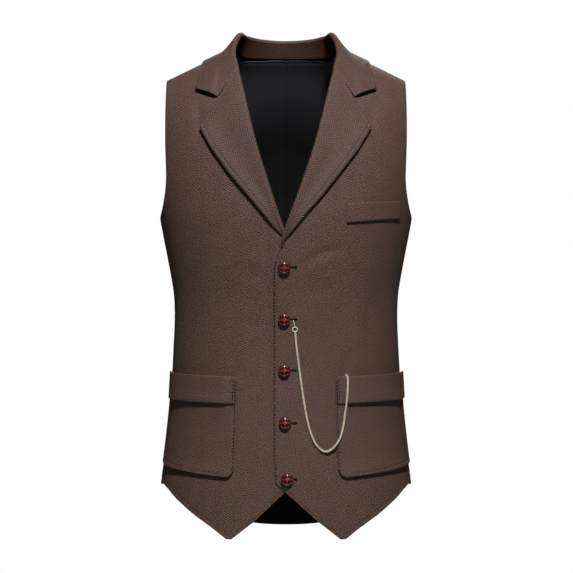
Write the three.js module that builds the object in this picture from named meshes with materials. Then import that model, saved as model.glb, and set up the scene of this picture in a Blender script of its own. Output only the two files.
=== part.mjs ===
import * as THREE from "three";

// A man's five-button waistcoat in herringbone wool, filled out as it is worn.
// Sizes are millimetres. Z is up and the front of the garment faces -Y, so the
// wearer's left is on +X. The origin is midway between the shoulders, level with
// the neck ends of the shoulder seams. Left and right are the wearer's.

// Cloth thicknesses, and the gaps between pieces
const WOOL = 2.4;
const SATIN = 1.8;
const LINING = 1.0;
const SEAM = 0.3;
const LAY = 0.55;
const ON_PANEL = WOOL + LAY;

// The figure that the cloth is cut for, from above the neck to below the hem:
// half width at the sides, and depth of the front and of the back from mid plane
const FIGURE = [
  { z: 60, half: 190, front: 108, back: 104 },
  { z: 0, half: 190, front: 112, back: 108 },
  { z: -60, half: 187.5, front: 115, back: 112 },
  { z: -130, half: 184, front: 118, back: 114 },
  { z: -200, half: 176.8, front: 123, back: 112 },
  { z: -236, half: 171.8, front: 124, back: 108 },
  { z: -290, half: 161.8, front: 120, back: 100 },
  { z: -346, half: 153, front: 113, back: 92 },
  { z: -415, half: 154, front: 110, back: 92 },
  { z: -484, half: 158, front: 112, back: 98 },
  { z: -539, half: 163.5, front: 116, back: 105 },
  { z: -600, half: 171.3, front: 120, back: 110 },
  { z: -690, half: 176, front: 123, back: 112 },
];
const SQUARENESS = 2.3;
const NECK_X = 68;
const SHOULDER_SLOPE = 0.506;
const CREST_SOFTNESS = 40;
const CAP_HEIGHT = 170;

// Seam places, as angles round the figure from the front centre
const SIDE_SEAM = THREE.MathUtils.degToRad(94);
const SHOULDER_SEAM = 8;
const UNDERARM_Z = -236;
const SIDE_HEM_Z = -597;

// Front armhole, from the underarm up to the shoulder
const ARMHOLE = [
  { z: -236, angle: 94 },
  { z: -233.5, angle: 86 },
  { z: -229, angle: 79.5 },
  { z: -220, angle: 73 },
  { z: -208, angle: 68.4 },
  { z: -195, angle: 65 },
  { z: -175, angle: 62.2 },
  { z: -130, angle: 60 },
  { z: -45, angle: 57.5 },
];

// Front edges, from the hem point up to the neck. x is measured towards the
// wearer's own side, and side is the height reached at the side of the panel.
const FRONT_CENTRE = { left: -16.6, right: -14 };
const EDGE_FOLD = 3.9;
const CORNER_CUT = 2.6;
const FRONT_TIP = { x: 73, z: -664.5 };
const HEM_SIDE_X = 171;
const HEM_SLOPE = 0.74;
const TIP_SLOPE = 0.31;
const FRONT_ROWS = [
  { x: 73, z: -664.5, side: SIDE_HEM_Z, steps: 3 },
  { x: 43.3, z: -641, side: -577, steps: 3 },
  { x: "corner", z: -589, side: -532, steps: 8 },
  { x: "centre", z: -292, side: -290, steps: 1 },
  { x: "roll", z: -279, side: -272, steps: 2 },
  { x: "roll", z: -247, side: UNDERARM_Z, steps: 1 },
  { x: "roll", z: -241, side: -233.5, steps: 1 },
  { x: "roll", z: -233, side: -229, steps: 1 },
  { x: "roll", z: -220, side: -220, steps: 1 },
  { x: "roll", z: -200, side: -206, steps: 5 },
  { x: "roll", z: -57, side: -85, steps: 1 },
  { x: 68.8, z: -38, side: -68, steps: 2 },
  { x: 73.5, z: -12, side: -54, steps: 1 },
  { x: 73.5, z: -2, side: -46, steps: 0 },
];
const NECK_SEAM_X = 73;

// Roll lines of the lapels: where each front folds back, as seen from the front
const ROLL_LINE = {
  left: [
    { z: -285, x: -14.5 },
    { z: -249, x: 0 },
    { z: -184, x: 22 },
    { z: -133, x: 38.5 },
    { z: -57, x: 57.5 },
    { z: -38, x: 62.5 },
  ],
  right: [
    { z: -285, x: -12.3 },
    { z: -249, x: 2.6 },
    { z: -184, x: 24.2 },
    { z: -133, x: 39.5 },
    { z: -57, x: 57.5 },
    { z: -38, x: 62.5 },
  ],
};

// Lapels: outer edges from the break point to the tip, and the notch
const LAPEL_ROLL_RADIUS = 2.35;
const LAPEL_BOTTOM = {
  left: { inner: { x: -8.2, z: -275 }, outer: { x: -4.6, z: -275 } },
  right: { inner: { x: 8.4, z: -245 }, outer: { x: 12.6, z: -257 } },
};
const LAPEL_EDGE = {
  left: [
    { x: 25.2, z: -231.9 },
    { x: 48.2, z: -206.3 },
    { x: 71.3, z: -176.3 },
    { x: 94.7, z: -145.5 },
    { x: 112.6, z: -115 },
  ],
  right: [
    { x: 29, z: -232 },
    { x: 50, z: -207 },
    { x: 75, z: -177 },
    { x: 98, z: -144 },
    { x: 113.5, z: -115 },
  ],
};
const LAPEL_NOTCH = { x: 91, z: -76.5 };
const LAPEL_TOP = { x: 67.5, z: -40.5 };

// Collar sections from the middle of the back round to the gorge: the neck
// seam, the top of the roll, the line where the leaf comes down on the panels,
// and the outer edge of the leaf; fold is the radius of the roll
const COLLAR_ROWS = [
  { seam: [0, 60, -9], roll: [0, 56, 16.8], foot: [0, 69.5, -11], leaf: [0, 84, -32], fold: 3.2 },
  { seam: [34, 54, -9], roll: [31, 48, 17.8], foot: [40, 62, -11], leaf: [50, 78, -33], fold: 3.2 },
  { seam: [60, 37, -8], roll: [51, 30, 20.2], foot: [70, 39, -9], leaf: [88, 50, -30], fold: 3.1 },
  { seam: [71, 8, -2], roll: [58.5, 2, 21.3], foot: [83, 4, -5], leaf: [107.5, 4, -21], fold: 3 },
  { seam: [72.5, -17, -4], roll: [65, -20, 11], foot: [85, -24, -14], leaf: [111.5, -30, -38], fold: 2.8 },
  { seam: [72.5, -36, -12], roll: [67.8, -40, -9], foot: [87, -45, -34], leaf: [114, -45, -53], fold: 2.5 },
  { seam: [70, -67, -39.5], roll: [62.4, -69.4, -38.8], foot: [88.9, -77, -76], leaf: [115.5, -56, -67], fold: 2.35 },
];
const STAND_END = 0.74;
const LEAF_DROP = 0.3;

// Back: hem height at the middle, and the neckline up to the shoulder seam
const BACK_HEM_Z = -667;
const BACK_NECK = [
  { x: 0, z: -10.6 },
  { x: 34, z: -11.6 },
  { x: 62, z: -12.6 },
];
const BACK_NECK_SHARE = 0.42;
const BACK_ROWS = 9;
const BACK_COLUMNS = 12;
const FRONT_COLUMNS = 13;

// Cuffed patch pockets on the fronts, and the welt on the left breast
const POCKET = {
  innerTop: 64.6,
  innerBottom: 69,
  outerAngle: 86,
  topInner: -448,
  topOuter: -443.5,
  bottomInner: -582,
  bottomOuter: -568,
  corner: 14,
  gape: 3.8,
};
const CUFF_DEPTH = 36.5;
const WELT = {
  topInner: { x: 80.3, z: -216.6 },
  topOuter: { x: 152.2, z: -212 },
  bottomInner: { x: 80, z: -242.5 },
  bottomOuter: { x: 151.5, z: -235.5 },
};

// Buttons: covered in plaited leather, domed, on a short shank
const BUTTON = { diameter: 16.4, height: 7.6, shank: 5, rise: 1.6 };
const BUTTONS = [
  { x: -2.3, z: -301.6 },
  { x: -2.3, z: -371.4 },
  { x: -2.1, z: -439.9 },
  { x: -1.3, z: -509.7 },
  { x: 1.6, z: -584.2 },
];

// Chain from the second buttonhole to the left pocket: height above the panel
// is given for each point of its route
const CHAIN_DIAMETER = 2.8;
const CHAIN_STEPS = 60;
const CHAIN_RING = { x: 11.8, z: -384.6, radius: 3.2, wire: 0.75 };
const CHAIN_HOOK = { top: { x: 9.6, z: -372.2 }, bottom: { x: 11.4, z: -380 } };
const CHAIN_ROUTE = [
  { x: 12.2, z: -389.2, height: 3.1 },
  { x: 13.4, z: -404, height: 3.1 },
  { x: 17, z: -433, height: 3.1 },
  { x: 21.5, z: -467, height: 3.1 },
  { x: 27, z: -501, height: 3.1 },
  { x: 33, z: -524, height: 3.2 },
  { x: 41, z: -540, height: 3.4 },
  { x: 51.5, z: -547.5, height: 4.2 },
  { x: 61, z: -543, height: 6.2 },
  { x: 69.5, z: -531, height: 7.6 },
  { x: 74, z: -515, height: 7.8 },
  { x: 75.8, z: -497, height: 10.4 },
  { x: 76.6, z: -484, height: 13.6 },
  { x: 77.6, z: -470, height: 14.6 },
  { x: 78.1, z: -455, height: 15.2 },
  { x: 78.1, z: -447.5, height: 14.8 },
  { x: 77.8, z: -442.6, height: 12.4 },
  { x: 77.5, z: -441.4, height: 8.8 },
  { x: 77.3, z: -443.2, height: 5.1 },
  { x: 77.1, z: -450, height: 3.2 },
  { x: 77, z: -458, height: 3 },
];

const COLOURS = {
  wool: { color: 0x5a473d, roughness: 0.95, metalness: 0 },
  satin: { color: 0x17181b, roughness: 0.45, metalness: 0 },
  leather: { color: 0x6e2410, roughness: 0.35, metalness: 0 },
  brass: { color: 0xcdb98f, roughness: 0.3, metalness: 1 },
};

// Value of one column of a table of heights, smoothly between its rows
function smoothColumn(rows, key, z) {
  const up = rows[0].z > rows[rows.length - 1].z ? 1 : -1;
  let i = 0;
  while (i < rows.length - 2 && up * z < up * rows[i + 1].z) i += 1;
  const slopeAt = (k) => {
    const a = rows[Math.max(k - 1, 0)];
    const b = rows[Math.min(k + 1, rows.length - 1)];
    return (b[key] - a[key]) / (b.z - a.z);
  };
  const a = rows[i];
  const b = rows[i + 1];
  const span = b.z - a.z;
  const t = THREE.MathUtils.clamp((z - a.z) / span, 0, 1);
  const s = 1 - t;
  return (
    a[key] * s * s * (1 + 2 * t) +
    b[key] * t * t * (3 - 2 * t) +
    slopeAt(i) * span * s * s * t -
    slopeAt(i + 1) * span * t * t * s
  );
}

const smoothstep = (x, from, to) => THREE.MathUtils.smoothstep(x, from, to);
const lerp = (a, b, t) => a + (b - a) * t;
const halfWidth = (z) => smoothColumn(FIGURE, "half", z);
const depthAt = (z, isBack) => smoothColumn(FIGURE, isBack ? "back" : "front", z);
const crest = (x) => SHOULDER_SLOPE * (Math.hypot(NECK_X, CREST_SOFTNESS) - Math.hypot(x, CREST_SOFTNESS));

// Point of the figure's surface. angle runs round from the front centre, and
// down is the distance below the shoulder crest, measured over the shoulder;
// a negative one lies over the crest, on the other side.
function bodyPoint(angle, down) {
  const turn = down < 0 ? Math.PI - angle : angle;
  const reach = Math.abs(down);
  const isBack = Math.cos(turn) < 0;
  const roll = Math.min(reach / CAP_HEIGHT, Math.PI / 2);
  const drop = CAP_HEIGHT * (1 - Math.cos(roll)) + Math.max(0, reach - (CAP_HEIGHT * Math.PI) / 2);
  const across = Math.sign(Math.sin(turn)) * Math.abs(Math.sin(turn)) ** (2 / SQUARENESS);
  const along = Math.abs(Math.cos(turn)) ** (2 / SQUARENESS);
  let x = halfWidth(0) * across;
  let z = 0;
  for (let pass = 0; pass < 8; pass += 1) {
    z = crest(x) - drop;
    x = halfWidth(z) * across;
  }
  const y = depthAt(z, isBack) * Math.sin(roll) * along;
  return new THREE.Vector3(x, isBack ? y : -y, z);
}

// Angle and distance below the crest of the surface's point at x and z
function locate(x, z, isBack = false) {
  const sine = Math.min(Math.abs(x / halfWidth(z)), 1) ** (SQUARENESS / 2);
  const angle = Math.sign(x) * Math.asin(sine);
  const drop = Math.max(crest(x) - z, 0);
  const roll = Math.acos(1 - Math.min(drop / CAP_HEIGHT, 1));
  const down = CAP_HEIGHT * roll + Math.max(0, drop - CAP_HEIGHT);
  return [isBack ? Math.PI - angle : angle, down];
}

// Square of the surface's depth, which goes on below zero outside it
function depthSquared(x, z, isBack) {
  const below = Math.min((crest(x) - z) / CAP_HEIGHT, 1);
  const inside = 1 - Math.abs(x / halfWidth(z)) ** SQUARENESS;
  const across = Math.sign(inside) * Math.abs(inside) ** (2 / SQUARENESS);
  return depthAt(z, isBack) ** 2 * (2 * below - below * below) * across;
}

function gradient(point) {
  const isBack = point.y > 0;
  const step = 0.5;
  const { x, y, z } = point;
  return new THREE.Vector3(
    (depthSquared(x - step, z, isBack) - depthSquared(x + step, z, isBack)) / (2 * step),
    2 * y,
    (depthSquared(x, z - step, isBack) - depthSquared(x, z + step, isBack)) / (2 * step),
  );
}

const outward = (point) => gradient(point).normalize();

// Moves a point along the outward direction until it is at a height over the surface
function settle(point, height) {
  const moved = point.clone();
  for (let pass = 0; pass < 4; pass += 1) {
    moved.addScaledVector(outward(moved), height - heightOf(moved));
  }
  return moved;
}

function heightOf(point) {
  const excess = point.y * point.y - depthSquared(point.x, point.z, point.y > 0);
  return excess / gradient(point).length();
}

// Point of a panel: on the surface, moved out by lift, with its normal
function node(angle, down, lift) {
  const base = bodyPoint(angle, down);
  const normal = outward(base);
  return { point: base.addScaledVector(normal, lift), normal };
}

// Closed cloth wall round a grid of middle points, each with a normal
function wall(grid, thickness) {
  const rows = grid.length;
  const cols = grid[0].length;
  const positions = [];
  for (const side of [0.5, -0.5]) {
    for (const row of grid) {
      for (const { point, normal } of row) {
        positions.push(...point.clone().addScaledVector(normal, side * thickness).toArray());
      }
    }
  }
  const at = (layer, r, c) => layer * rows * cols + r * cols + c;
  const index = [];
  const quad = (a, b, c, d) => index.push(a, b, c, a, c, d);
  for (let r = 0; r + 1 < rows; r += 1) {
    for (let c = 0; c + 1 < cols; c += 1) {
      quad(at(0, r, c), at(0, r, c + 1), at(0, r + 1, c + 1), at(0, r + 1, c));
      quad(at(1, r, c), at(1, r + 1, c), at(1, r + 1, c + 1), at(1, r, c + 1));
    }
  }
  for (let r = 0; r + 1 < rows; r += 1) {
    quad(at(0, r, 0), at(0, r + 1, 0), at(1, r + 1, 0), at(1, r, 0));
    quad(at(0, r + 1, cols - 1), at(0, r, cols - 1), at(1, r, cols - 1), at(1, r + 1, cols - 1));
  }
  for (let c = 0; c + 1 < cols; c += 1) {
    quad(at(0, 0, c + 1), at(0, 0, c), at(1, 0, c), at(1, 0, c + 1));
    quad(at(0, rows - 1, c), at(0, rows - 1, c + 1), at(1, rows - 1, c + 1), at(1, rows - 1, c));
  }
  return facingOut(positions, index);
}

// Indexed geometry whose faces point out of the solid
function facingOut(positions, index) {
  const corner = (i) => new THREE.Vector3().fromArray(positions, index[i] * 3);
  let volume = 0;
  for (let i = 0; i < index.length; i += 3) {
    volume += corner(i).dot(corner(i + 1).cross(corner(i + 2)));
  }
  if (volume < 0) {
    for (let i = 0; i < index.length; i += 3) {
      [index[i + 1], index[i + 2]] = [index[i + 2], index[i + 1]];
    }
  }
  const geometry = new THREE.BufferGeometry();
  geometry.setAttribute("position", new THREE.Float32BufferAttribute(positions, 3));
  geometry.setIndex(index);
  geometry.computeVertexNormals();
  return geometry;
}

// The same solid for the other side of the body
function mirrored(geometry) {
  const positions = Array.from(geometry.getAttribute("position").array);
  for (let i = 0; i < positions.length; i += 3) positions[i] *= -1;
  return facingOut(positions, Array.from(geometry.getIndex().array));
}

// Point inside four edge curves: inner and outer by v, bottom and top by u
function blend(edges, u, v) {
  const corners = [edges.inner(0), edges.outer(0), edges.inner(1), edges.outer(1)];
  return [0, 1].map(
    (k) =>
      lerp(edges.inner(v)[k], edges.outer(v)[k], u) +
      lerp(edges.bottom(u)[k], edges.top(u)[k], v) -
      lerp(lerp(corners[0][k], corners[1][k], u), lerp(corners[2][k], corners[3][k], u), v),
  );
}

// Place along a line of points, by the share of its length
function alongLine(points, share) {
  const lengths = points.slice(1).map((p, i) => Math.hypot(p[0] - points[i][0], p[1] - points[i][1]));
  let rest = share * lengths.reduce((sum, length) => sum + length, 0);
  let i = 0;
  while (i < lengths.length - 1 && rest > lengths[i]) {
    rest -= lengths[i];
    i += 1;
  }
  const t = lengths[i] > 0 ? rest / lengths[i] : 0;
  return [lerp(points[i][0], points[i + 1][0], t), lerp(points[i][1], points[i + 1][1], t)];
}

const shares = (count) => Array.from({ length: count + 1 }, (_, i) => i / count);

// The left front laps over the right one near the middle, below the neckline
function lapLift(x, z) {
  return ON_PANEL * (1 - smoothstep(x, 20, 78)) * (1 - smoothstep(z, -250, -110));
}

const foldX = (side, z) => smoothColumn(ROLL_LINE[side], "x", z) + EDGE_FOLD;

// Edge of a front panel on the armhole side, at a height
function armholeAngle(z) {
  if (z <= UNDERARM_Z) return SIDE_SEAM;
  return THREE.MathUtils.degToRad(smoothColumn(ARMHOLE, "angle", z));
}

// Rows of a front panel: inner end and height at the side, in order up the panel
function frontRows(side) {
  const centre = FRONT_CENTRE[side];
  const named = { corner: centre + CORNER_CUT, centre };
  const endX = (row) => (row.x === "roll" ? foldX(side, row.z) : named[row.x] ?? row.x);
  return FRONT_ROWS.flatMap((row, i) => {
    const next = FRONT_ROWS[i + 1] ?? row;
    return shares(Math.max(row.steps, 1))
      .slice(0, -1)
      .map((t) => {
        const z = lerp(row.z, next.z, t);
        const onRoll = row.x === "roll" && next.x === "roll";
        const onCentre = row.x === "corner" && t > 0;
        const between = lerp(endX(row), endX(next), t);
        const x = onRoll ? foldX(side, z) : onCentre ? centre : between;
        return { x, z, side: lerp(row.side, next.side, t) };
      });
  });
}

function frontEdges(side) {
  const rows = frontRows(side);
  const last = rows.length - 1;
  const rowAt = (v) => rows[Math.round(v * last)];
  const tip = locate(FRONT_TIP.x, FRONT_TIP.z);
  const neck = [locate(rows[last].x, 0)[0], -SHOULDER_SEAM];
  const shoulder = [armholeAngle(-45), -SHOULDER_SEAM];
  const hem = (u) => {
    const angle = lerp(tip[0], SIDE_SEAM, u);
    const x = bodyPoint(angle, tip[1]).x;
    const straight = Math.min(SIDE_HEM_Z, SIDE_HEM_Z - HEM_SLOPE * (HEM_SIDE_X - x));
    const nearTip = FRONT_TIP.z + TIP_SLOPE * (x - FRONT_TIP.x) * smoothstep(u, 0, 0.15);
    return [angle, locate(Math.min(x, HEM_SIDE_X - 1), Math.max(straight, nearTip))[1]];
  };
  const sideFoot = locate(HEM_SIDE_X - 1, SIDE_HEM_Z)[1];
  const sideDown = (z) => sideFoot + (SIDE_HEM_Z - z);
  return {
    rows: last,
    inner: (v) => (v >= 1 ? neck : v <= 0 ? tip : locate(rowAt(v).x, rowAt(v).z)),
    outer: (v) => {
      const z = rowAt(v).side;
      if (v >= 1) return shoulder;
      if (z <= UNDERARM_Z) return [SIDE_SEAM, sideDown(z)];
      const angle = armholeAngle(z);
      return [angle, downAt(angle, z)];
    },
    bottom: hem,
    top: (u) => [lerp(neck[0], shoulder[0], u), -SHOULDER_SEAM],
  };
}

// Distance below the crest of the point at an angle round the body and a height
function downAt(angle, z) {
  const x = halfWidth(z) * Math.abs(Math.sin(angle)) ** (2 / SQUARENESS);
  return locate(x, z)[1];
}

function frontPanel(side) {
  const edges = frontEdges(side);
  const grid = shares(edges.rows).map((v) =>
    shares(FRONT_COLUMNS).map((u) => {
      const [angle, down] = blend(edges, u, v);
      const spot = bodyPoint(angle, down);
      const lift = side === "left" ? lapLift(spot.x, spot.z) : 0;
      return node(angle, down, lift);
    }),
  );
  return wall(grid, WOOL);
}

// Back panel from the middle of the back to the side; inset draws its free
// edges in, and lift moves it out from the surface
function backPanel(thickness, lift, inset) {
  const middle = Math.PI - Math.asin((SEAM / 2 / halfWidth(0)) ** (SQUARENESS / 2));
  const sideAngle = SIDE_SEAM + SEAM / halfWidth(0);
  const shoulderDown = SHOULDER_SEAM + SEAM + inset / 4;
  const neckEnd = [Math.PI - locate(NECK_SEAM_X, 0)[0], shoulderDown];
  const neckLine = [...BACK_NECK.map(({ x, z }) => locate(x, z, true)), neckEnd];
  neckLine[0][0] = middle;
  const top = ARMHOLE[ARMHOLE.length - 1];
  const shoulder = [Math.PI - armholeAngle(top.z) + inset / halfWidth(0), shoulderDown];
  const heights = [
    ...shares(BACK_ROWS).map((t) => lerp(SIDE_HEM_Z + inset, UNDERARM_Z, t)),
    ...ARMHOLE.slice(1, -1).map(({ z }) => z),
    ...shares(3).slice(1).map((t) => lerp(ARMHOLE[ARMHOLE.length - 2].z, top.z - 1, t)),
  ];
  const last = heights.length - 1;
  const bottomMiddle = locate(0, BACK_HEM_Z + inset)[1];
  const outer = (v) => {
    if (v >= 1) return shoulder;
    const z = heights[Math.round(v * last)];
    const open = Math.PI - armholeAngle(z) + (inset + SEAM) / halfWidth(0);
    const angle = z <= UNDERARM_Z ? sideAngle : Math.max(open, sideAngle);
    return [angle, downAt(angle, z)];
  };
  const edges = {
    inner: (v) => [middle, lerp(bottomMiddle, neckLine[0][1], v)],
    outer,
    bottom: (u) => {
      const angle = lerp(middle, sideAngle, u);
      return [angle, downAt(angle, lerp(BACK_HEM_Z + inset, heights[0], u * u * (2 - u)))];
    },
    top: (u) => {
      if (u <= BACK_NECK_SHARE) return alongLine(neckLine, u / BACK_NECK_SHARE);
      const t = (u - BACK_NECK_SHARE) / (1 - BACK_NECK_SHARE);
      return [lerp(neckEnd[0], shoulder[0], t), shoulderDown];
    },
  };
  const grid = shares(last).map((v) =>
    shares(BACK_COLUMNS).map((u) => {
      const [angle, down] = blend(edges, u, v);
      return node(angle, down, lift);
    }),
  );
  return wall(grid, thickness);
}

// Lapel: it starts against the front's folded edge, turns over in a half
// circle and lies back on the front as far as its outer edge
function lapel(side) {
  const bottom = LAPEL_BOTTOM[side];
  const lift = (x, z) => (side === "left" ? lapLift(x, z) : 0);
  const foldZ = (v) => lerp(bottom.inner.z, LAPEL_TOP.z, v);
  const foldPoint = (v) => [foldX(side, foldZ(v)), foldZ(v)];
  const edgeLine = [[bottom.outer.x, bottom.outer.z], ...LAPEL_EDGE[side].map(({ x, z }) => [x, z])];
  const tip = edgeLine[edgeLine.length - 1];
  const start = foldPoint(0);
  const topLine = [foldPoint(1), [LAPEL_NOTCH.x, LAPEL_NOTCH.z], tip];
  const edges = {
    inner: foldPoint,
    outer: (v) => alongLine(edgeLine, v),
    bottom: (u) => [lerp(start[0], edgeLine[0][0], u), lerp(start[1], edgeLine[0][1], u)],
    top: (u) => alongLine(topLine, u),
  };
  const fold = 2 * LAPEL_ROLL_RADIUS;
  const onFront = (x, z, height) => node(...locate(x, z), lift(x, z) + height);
  const grid = shares(15).map((v) => {
    const root = onFront(...foldPoint(v), 0);
    const ahead = onFront(foldX(side, foldZ(v) + 1), foldZ(v) + 1, 0);
    const along = ahead.point.clone().sub(root.point).normalize();
    const towardsNeck = along.clone().cross(root.normal).normalize();
    if (towardsNeck.x > 0) towardsNeck.negate();
    const turn = shares(4).map((t) => {
      const bend = Math.PI * t;
      const point = root.point
        .clone()
        .addScaledVector(towardsNeck, SEAM + LAPEL_ROLL_RADIUS * Math.sin(bend))
        .addScaledVector(root.normal, LAPEL_ROLL_RADIUS * (1 - Math.cos(bend)));
      const normal = towardsNeck
        .clone()
        .multiplyScalar(Math.sin(bend))
        .addScaledVector(root.normal, -Math.cos(bend));
      return { point, normal };
    });
    const run = shares(7)
      .slice(1)
      .map((u) => {
        const [x, z] = blend(edges, u, v);
        return onFront(x, z, lerp(fold, ON_PANEL + 0.1, smoothstep(u, 0, 0.55)));
      });
    return [...turn, ...run];
  });
  return wall(grid, WOOL);
}

// Smooth curve through one column of the collar table, left side to right side
function collarCurve(key) {
  const half = COLLAR_ROWS.map((row) => new THREE.Vector3(...row[key]));
  const other = half
    .slice(1)
    .reverse()
    .map((p) => new THREE.Vector3(-p.x, p.y, p.z));
  return new THREE.CatmullRomCurve3([...other, ...half], false, "centripetal");
}

const collarCurves = {
  seam: collarCurve("seam"),
  roll: collarCurve("roll"),
  foot: collarCurve("foot"),
  leaf: collarCurve("leaf"),
};

// Section of the collar, s from -1 at the right gorge to 1 at the left one:
// top of the stand, way up out of it, way out from the neck
function collarSection(s) {
  const t = (s + 1) / 2;
  const place = Math.abs(s) * (COLLAR_ROWS.length - 1);
  const i = Math.min(Math.floor(place), COLLAR_ROWS.length - 2);
  const fold = lerp(COLLAR_ROWS[i].fold, COLLAR_ROWS[i + 1].fold, place - i);
  const seam = settle(collarCurves.seam.getPoint(t), 0);
  const roll = collarCurves.roll.getPoint(t);
  const along = collarCurves.roll.getTangent(t);
  const up = roll.clone().sub(seam);
  up.addScaledVector(along, -up.dot(along)).normalize();
  const out = along.clone().cross(up).normalize();
  if (out.dot(outward(seam)) < 0) out.negate();
  const top = roll.clone().addScaledVector(up, -fold - WOOL / 2);
  const foot = settle(collarCurves.foot.getPoint(t), ON_PANEL + SEAM);
  const leaf = settle(collarCurves.leaf.getPoint(t), ON_PANEL + SEAM);
  return { seam, top, up, out, fold, foot, leaf };
}

function collarStand() {
  const grid = shares(24).map((share) => {
    const s = lerp(-STAND_END, STAND_END, share);
    const { seam, top, up, out } = collarSection(s);
    const foot = seam.clone().addScaledVector(up, 0.6);
    const head = top.clone().addScaledVector(up, -2 * SEAM);
    return shares(3).map((t) => ({ point: foot.clone().lerp(head, t), normal: out.clone() }));
  });
  return wall(grid, WOOL);
}

// Collar leaf: over the stand in a half circle, then down on to the panels
function collarLeaf() {
  const grid = shares(40).map((share) => {
    const s = lerp(-1, 1, share);
    const { top, up, out, fold, foot, leaf } = collarSection(s);
    const turn = shares(4).map((t) => {
      const bend = Math.PI * t;
      return {
        point: top
          .clone()
          .addScaledVector(up, fold * Math.sin(bend))
          .addScaledVector(out, fold * (1 - Math.cos(bend))),
        normal: up.clone().multiplyScalar(Math.sin(bend)).addScaledVector(out, -Math.cos(bend)),
      };
    });
    const start = turn[turn.length - 1].point;
    const drop = LEAF_DROP * start.distanceTo(foot) * (1 - s ** 6);
    const control = start.clone().addScaledVector(up, -drop).lerp(foot, 0.5 * s ** 6);
    const down = new THREE.QuadraticBezierCurve3(start, control, foot);
    const path = [
      ...shares(3).slice(1).map((t) => down.getPoint(t)),
      ...shares(4).slice(1).map((t) => foot.clone().lerp(leaf, t)),
    ];
    const resting = path.map((point) => settle(point, Math.max(heightOf(point), ON_PANEL + SEAM)));
    return [...turn, ...resting.map((point) => ({ point, normal: null }))];
  });
  grid.forEach((row, r) => {
    row.forEach((spot, c) => {
      if (spot.normal) return;
      const before = grid[Math.max(r - 1, 0)][c].point;
      const after = grid[Math.min(r + 1, grid.length - 1)][c].point;
      const nearer = row[c - 1].point;
      const further = row[Math.min(c + 1, row.length - 1)].point;
      const normal = after.clone().sub(before).cross(further.clone().sub(nearer)).normalize();
      if (normal.dot(outward(spot.point)) < 0) normal.negate();
      spot.normal = normal;
    });
  });
  return wall(grid, WOOL);
}

// How far a pocket's mouth stands off the front, by place across and height
function mouthGape(u, depth) {
  const across = smoothstep(u, 0, 0.09) * (1 - smoothstep(u, 0.45, 0.95));
  return POCKET.gape * across * (1 - smoothstep(depth, 14, 75));
}

// Grid on a front between two heights of the pocket, from its inner side out
function pocketGrid(side, fromTop, toBottom, lift) {
  const outerAngle = THREE.MathUtils.degToRad(POCKET.outerAngle);
  const top = { inner: POCKET.topInner - fromTop, outer: POCKET.topOuter - fromTop };
  const isWhole = toBottom === null;
  const bottom = isWhole
    ? { inner: POCKET.bottomInner, outer: POCKET.bottomOuter }
    : { inner: POCKET.topInner - toBottom, outer: POCKET.topOuter - toBottom };
  const innerX = (z) => {
    const t = (z - POCKET.topInner) / (POCKET.bottomInner - POCKET.topInner);
    return lerp(POCKET.innerTop, POCKET.innerBottom, t);
  };
  const rows = isWhole ? 12 : 4;
  return shares(rows).map((v) =>
    shares(11).map((u) => {
      const innerZ = lerp(top.inner, bottom.inner, v);
      const outerZ = lerp(top.outer, bottom.outer, v);
      const reach = bottom.inner + POCKET.corner - innerZ;
      const bite = isWhole && reach > 0 ? POCKET.corner - Math.sqrt(POCKET.corner ** 2 - reach ** 2) : 0;
      const inner = locate(innerX(innerZ) + bite * 0.8, innerZ);
      const angle = lerp(inner[0], outerAngle, u);
      const z = lerp(innerZ, outerZ, u);
      const down = downAt(angle, z);
      const spot = bodyPoint(angle, down);
      const depth = POCKET.topInner - z;
      const lap = side === "left" ? lapLift(spot.x, spot.z) : 0;
      return node(angle, down, lap + lift + mouthGape(u, depth));
    }),
  );
}

const patchPocket = (side) => wall(pocketGrid(side, 1, null, ON_PANEL), WOOL);
const pocketCuff = (side) => wall(pocketGrid(side, 0, CUFF_DEPTH, 2 * ON_PANEL), WOOL);

function breastWelt() {
  const grid = shares(3).map((v) =>
    shares(9).map((u) => {
      const corner = (key, t) => [
        lerp(WELT[`${key}Inner`].x, WELT[`${key}Outer`].x, t),
        lerp(WELT[`${key}Inner`].z, WELT[`${key}Outer`].z, t),
      ];
      const low = corner("bottom", u);
      const high = corner("top", u);
      const x = lerp(low[0], high[0], v);
      const z = lerp(low[1], high[1], v);
      return node(...locate(x, z), ON_PANEL + lapLift(x, z));
    }),
  );
  return wall(grid, WOOL);
}

// Place on the outside of the left front, at a height above its middle layer
function onLeftFront(x, z, height) {
  return node(...locate(x, z), lapLift(x, z) + height);
}

function buttonGeometry() {
  const radius = BUTTON.diameter / 2;
  const outline = [
    [0, 0],
    [BUTTON.shank / 2, 0],
    [BUTTON.shank / 2, BUTTON.rise],
    [radius * 0.72, BUTTON.rise + 0.4],
    [radius, BUTTON.rise + 2.4],
    [radius * 0.93, BUTTON.height - 2],
    [radius * 0.66, BUTTON.height - 0.6],
    [radius * 0.3, BUTTON.height],
    [0, BUTTON.height + 0.1],
  ].map(([x, y]) => new THREE.Vector2(x, y));
  return new THREE.LatheGeometry(outline, 18);
}

function chainCurve() {
  const points = CHAIN_ROUTE.map(({ x, z, height }) => onLeftFront(x, z, height).point);
  return new THREE.CatmullRomCurve3(points, false, "centripetal");
}

function chainTube() {
  const section = new THREE.Shape();
  const radius = CHAIN_DIAMETER / 2;
  const sides = 8;
  for (let i = 0; i < sides; i += 1) {
    const angle = (i / sides) * 2 * Math.PI;
    const x = radius * Math.cos(angle);
    const y = radius * Math.sin(angle);
    if (i === 0) section.moveTo(x, y);
    else section.lineTo(x, y);
  }
  section.closePath();
  return new THREE.ExtrudeGeometry(section, { steps: CHAIN_STEPS, extrudePath: chainCurve() });
}

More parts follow.
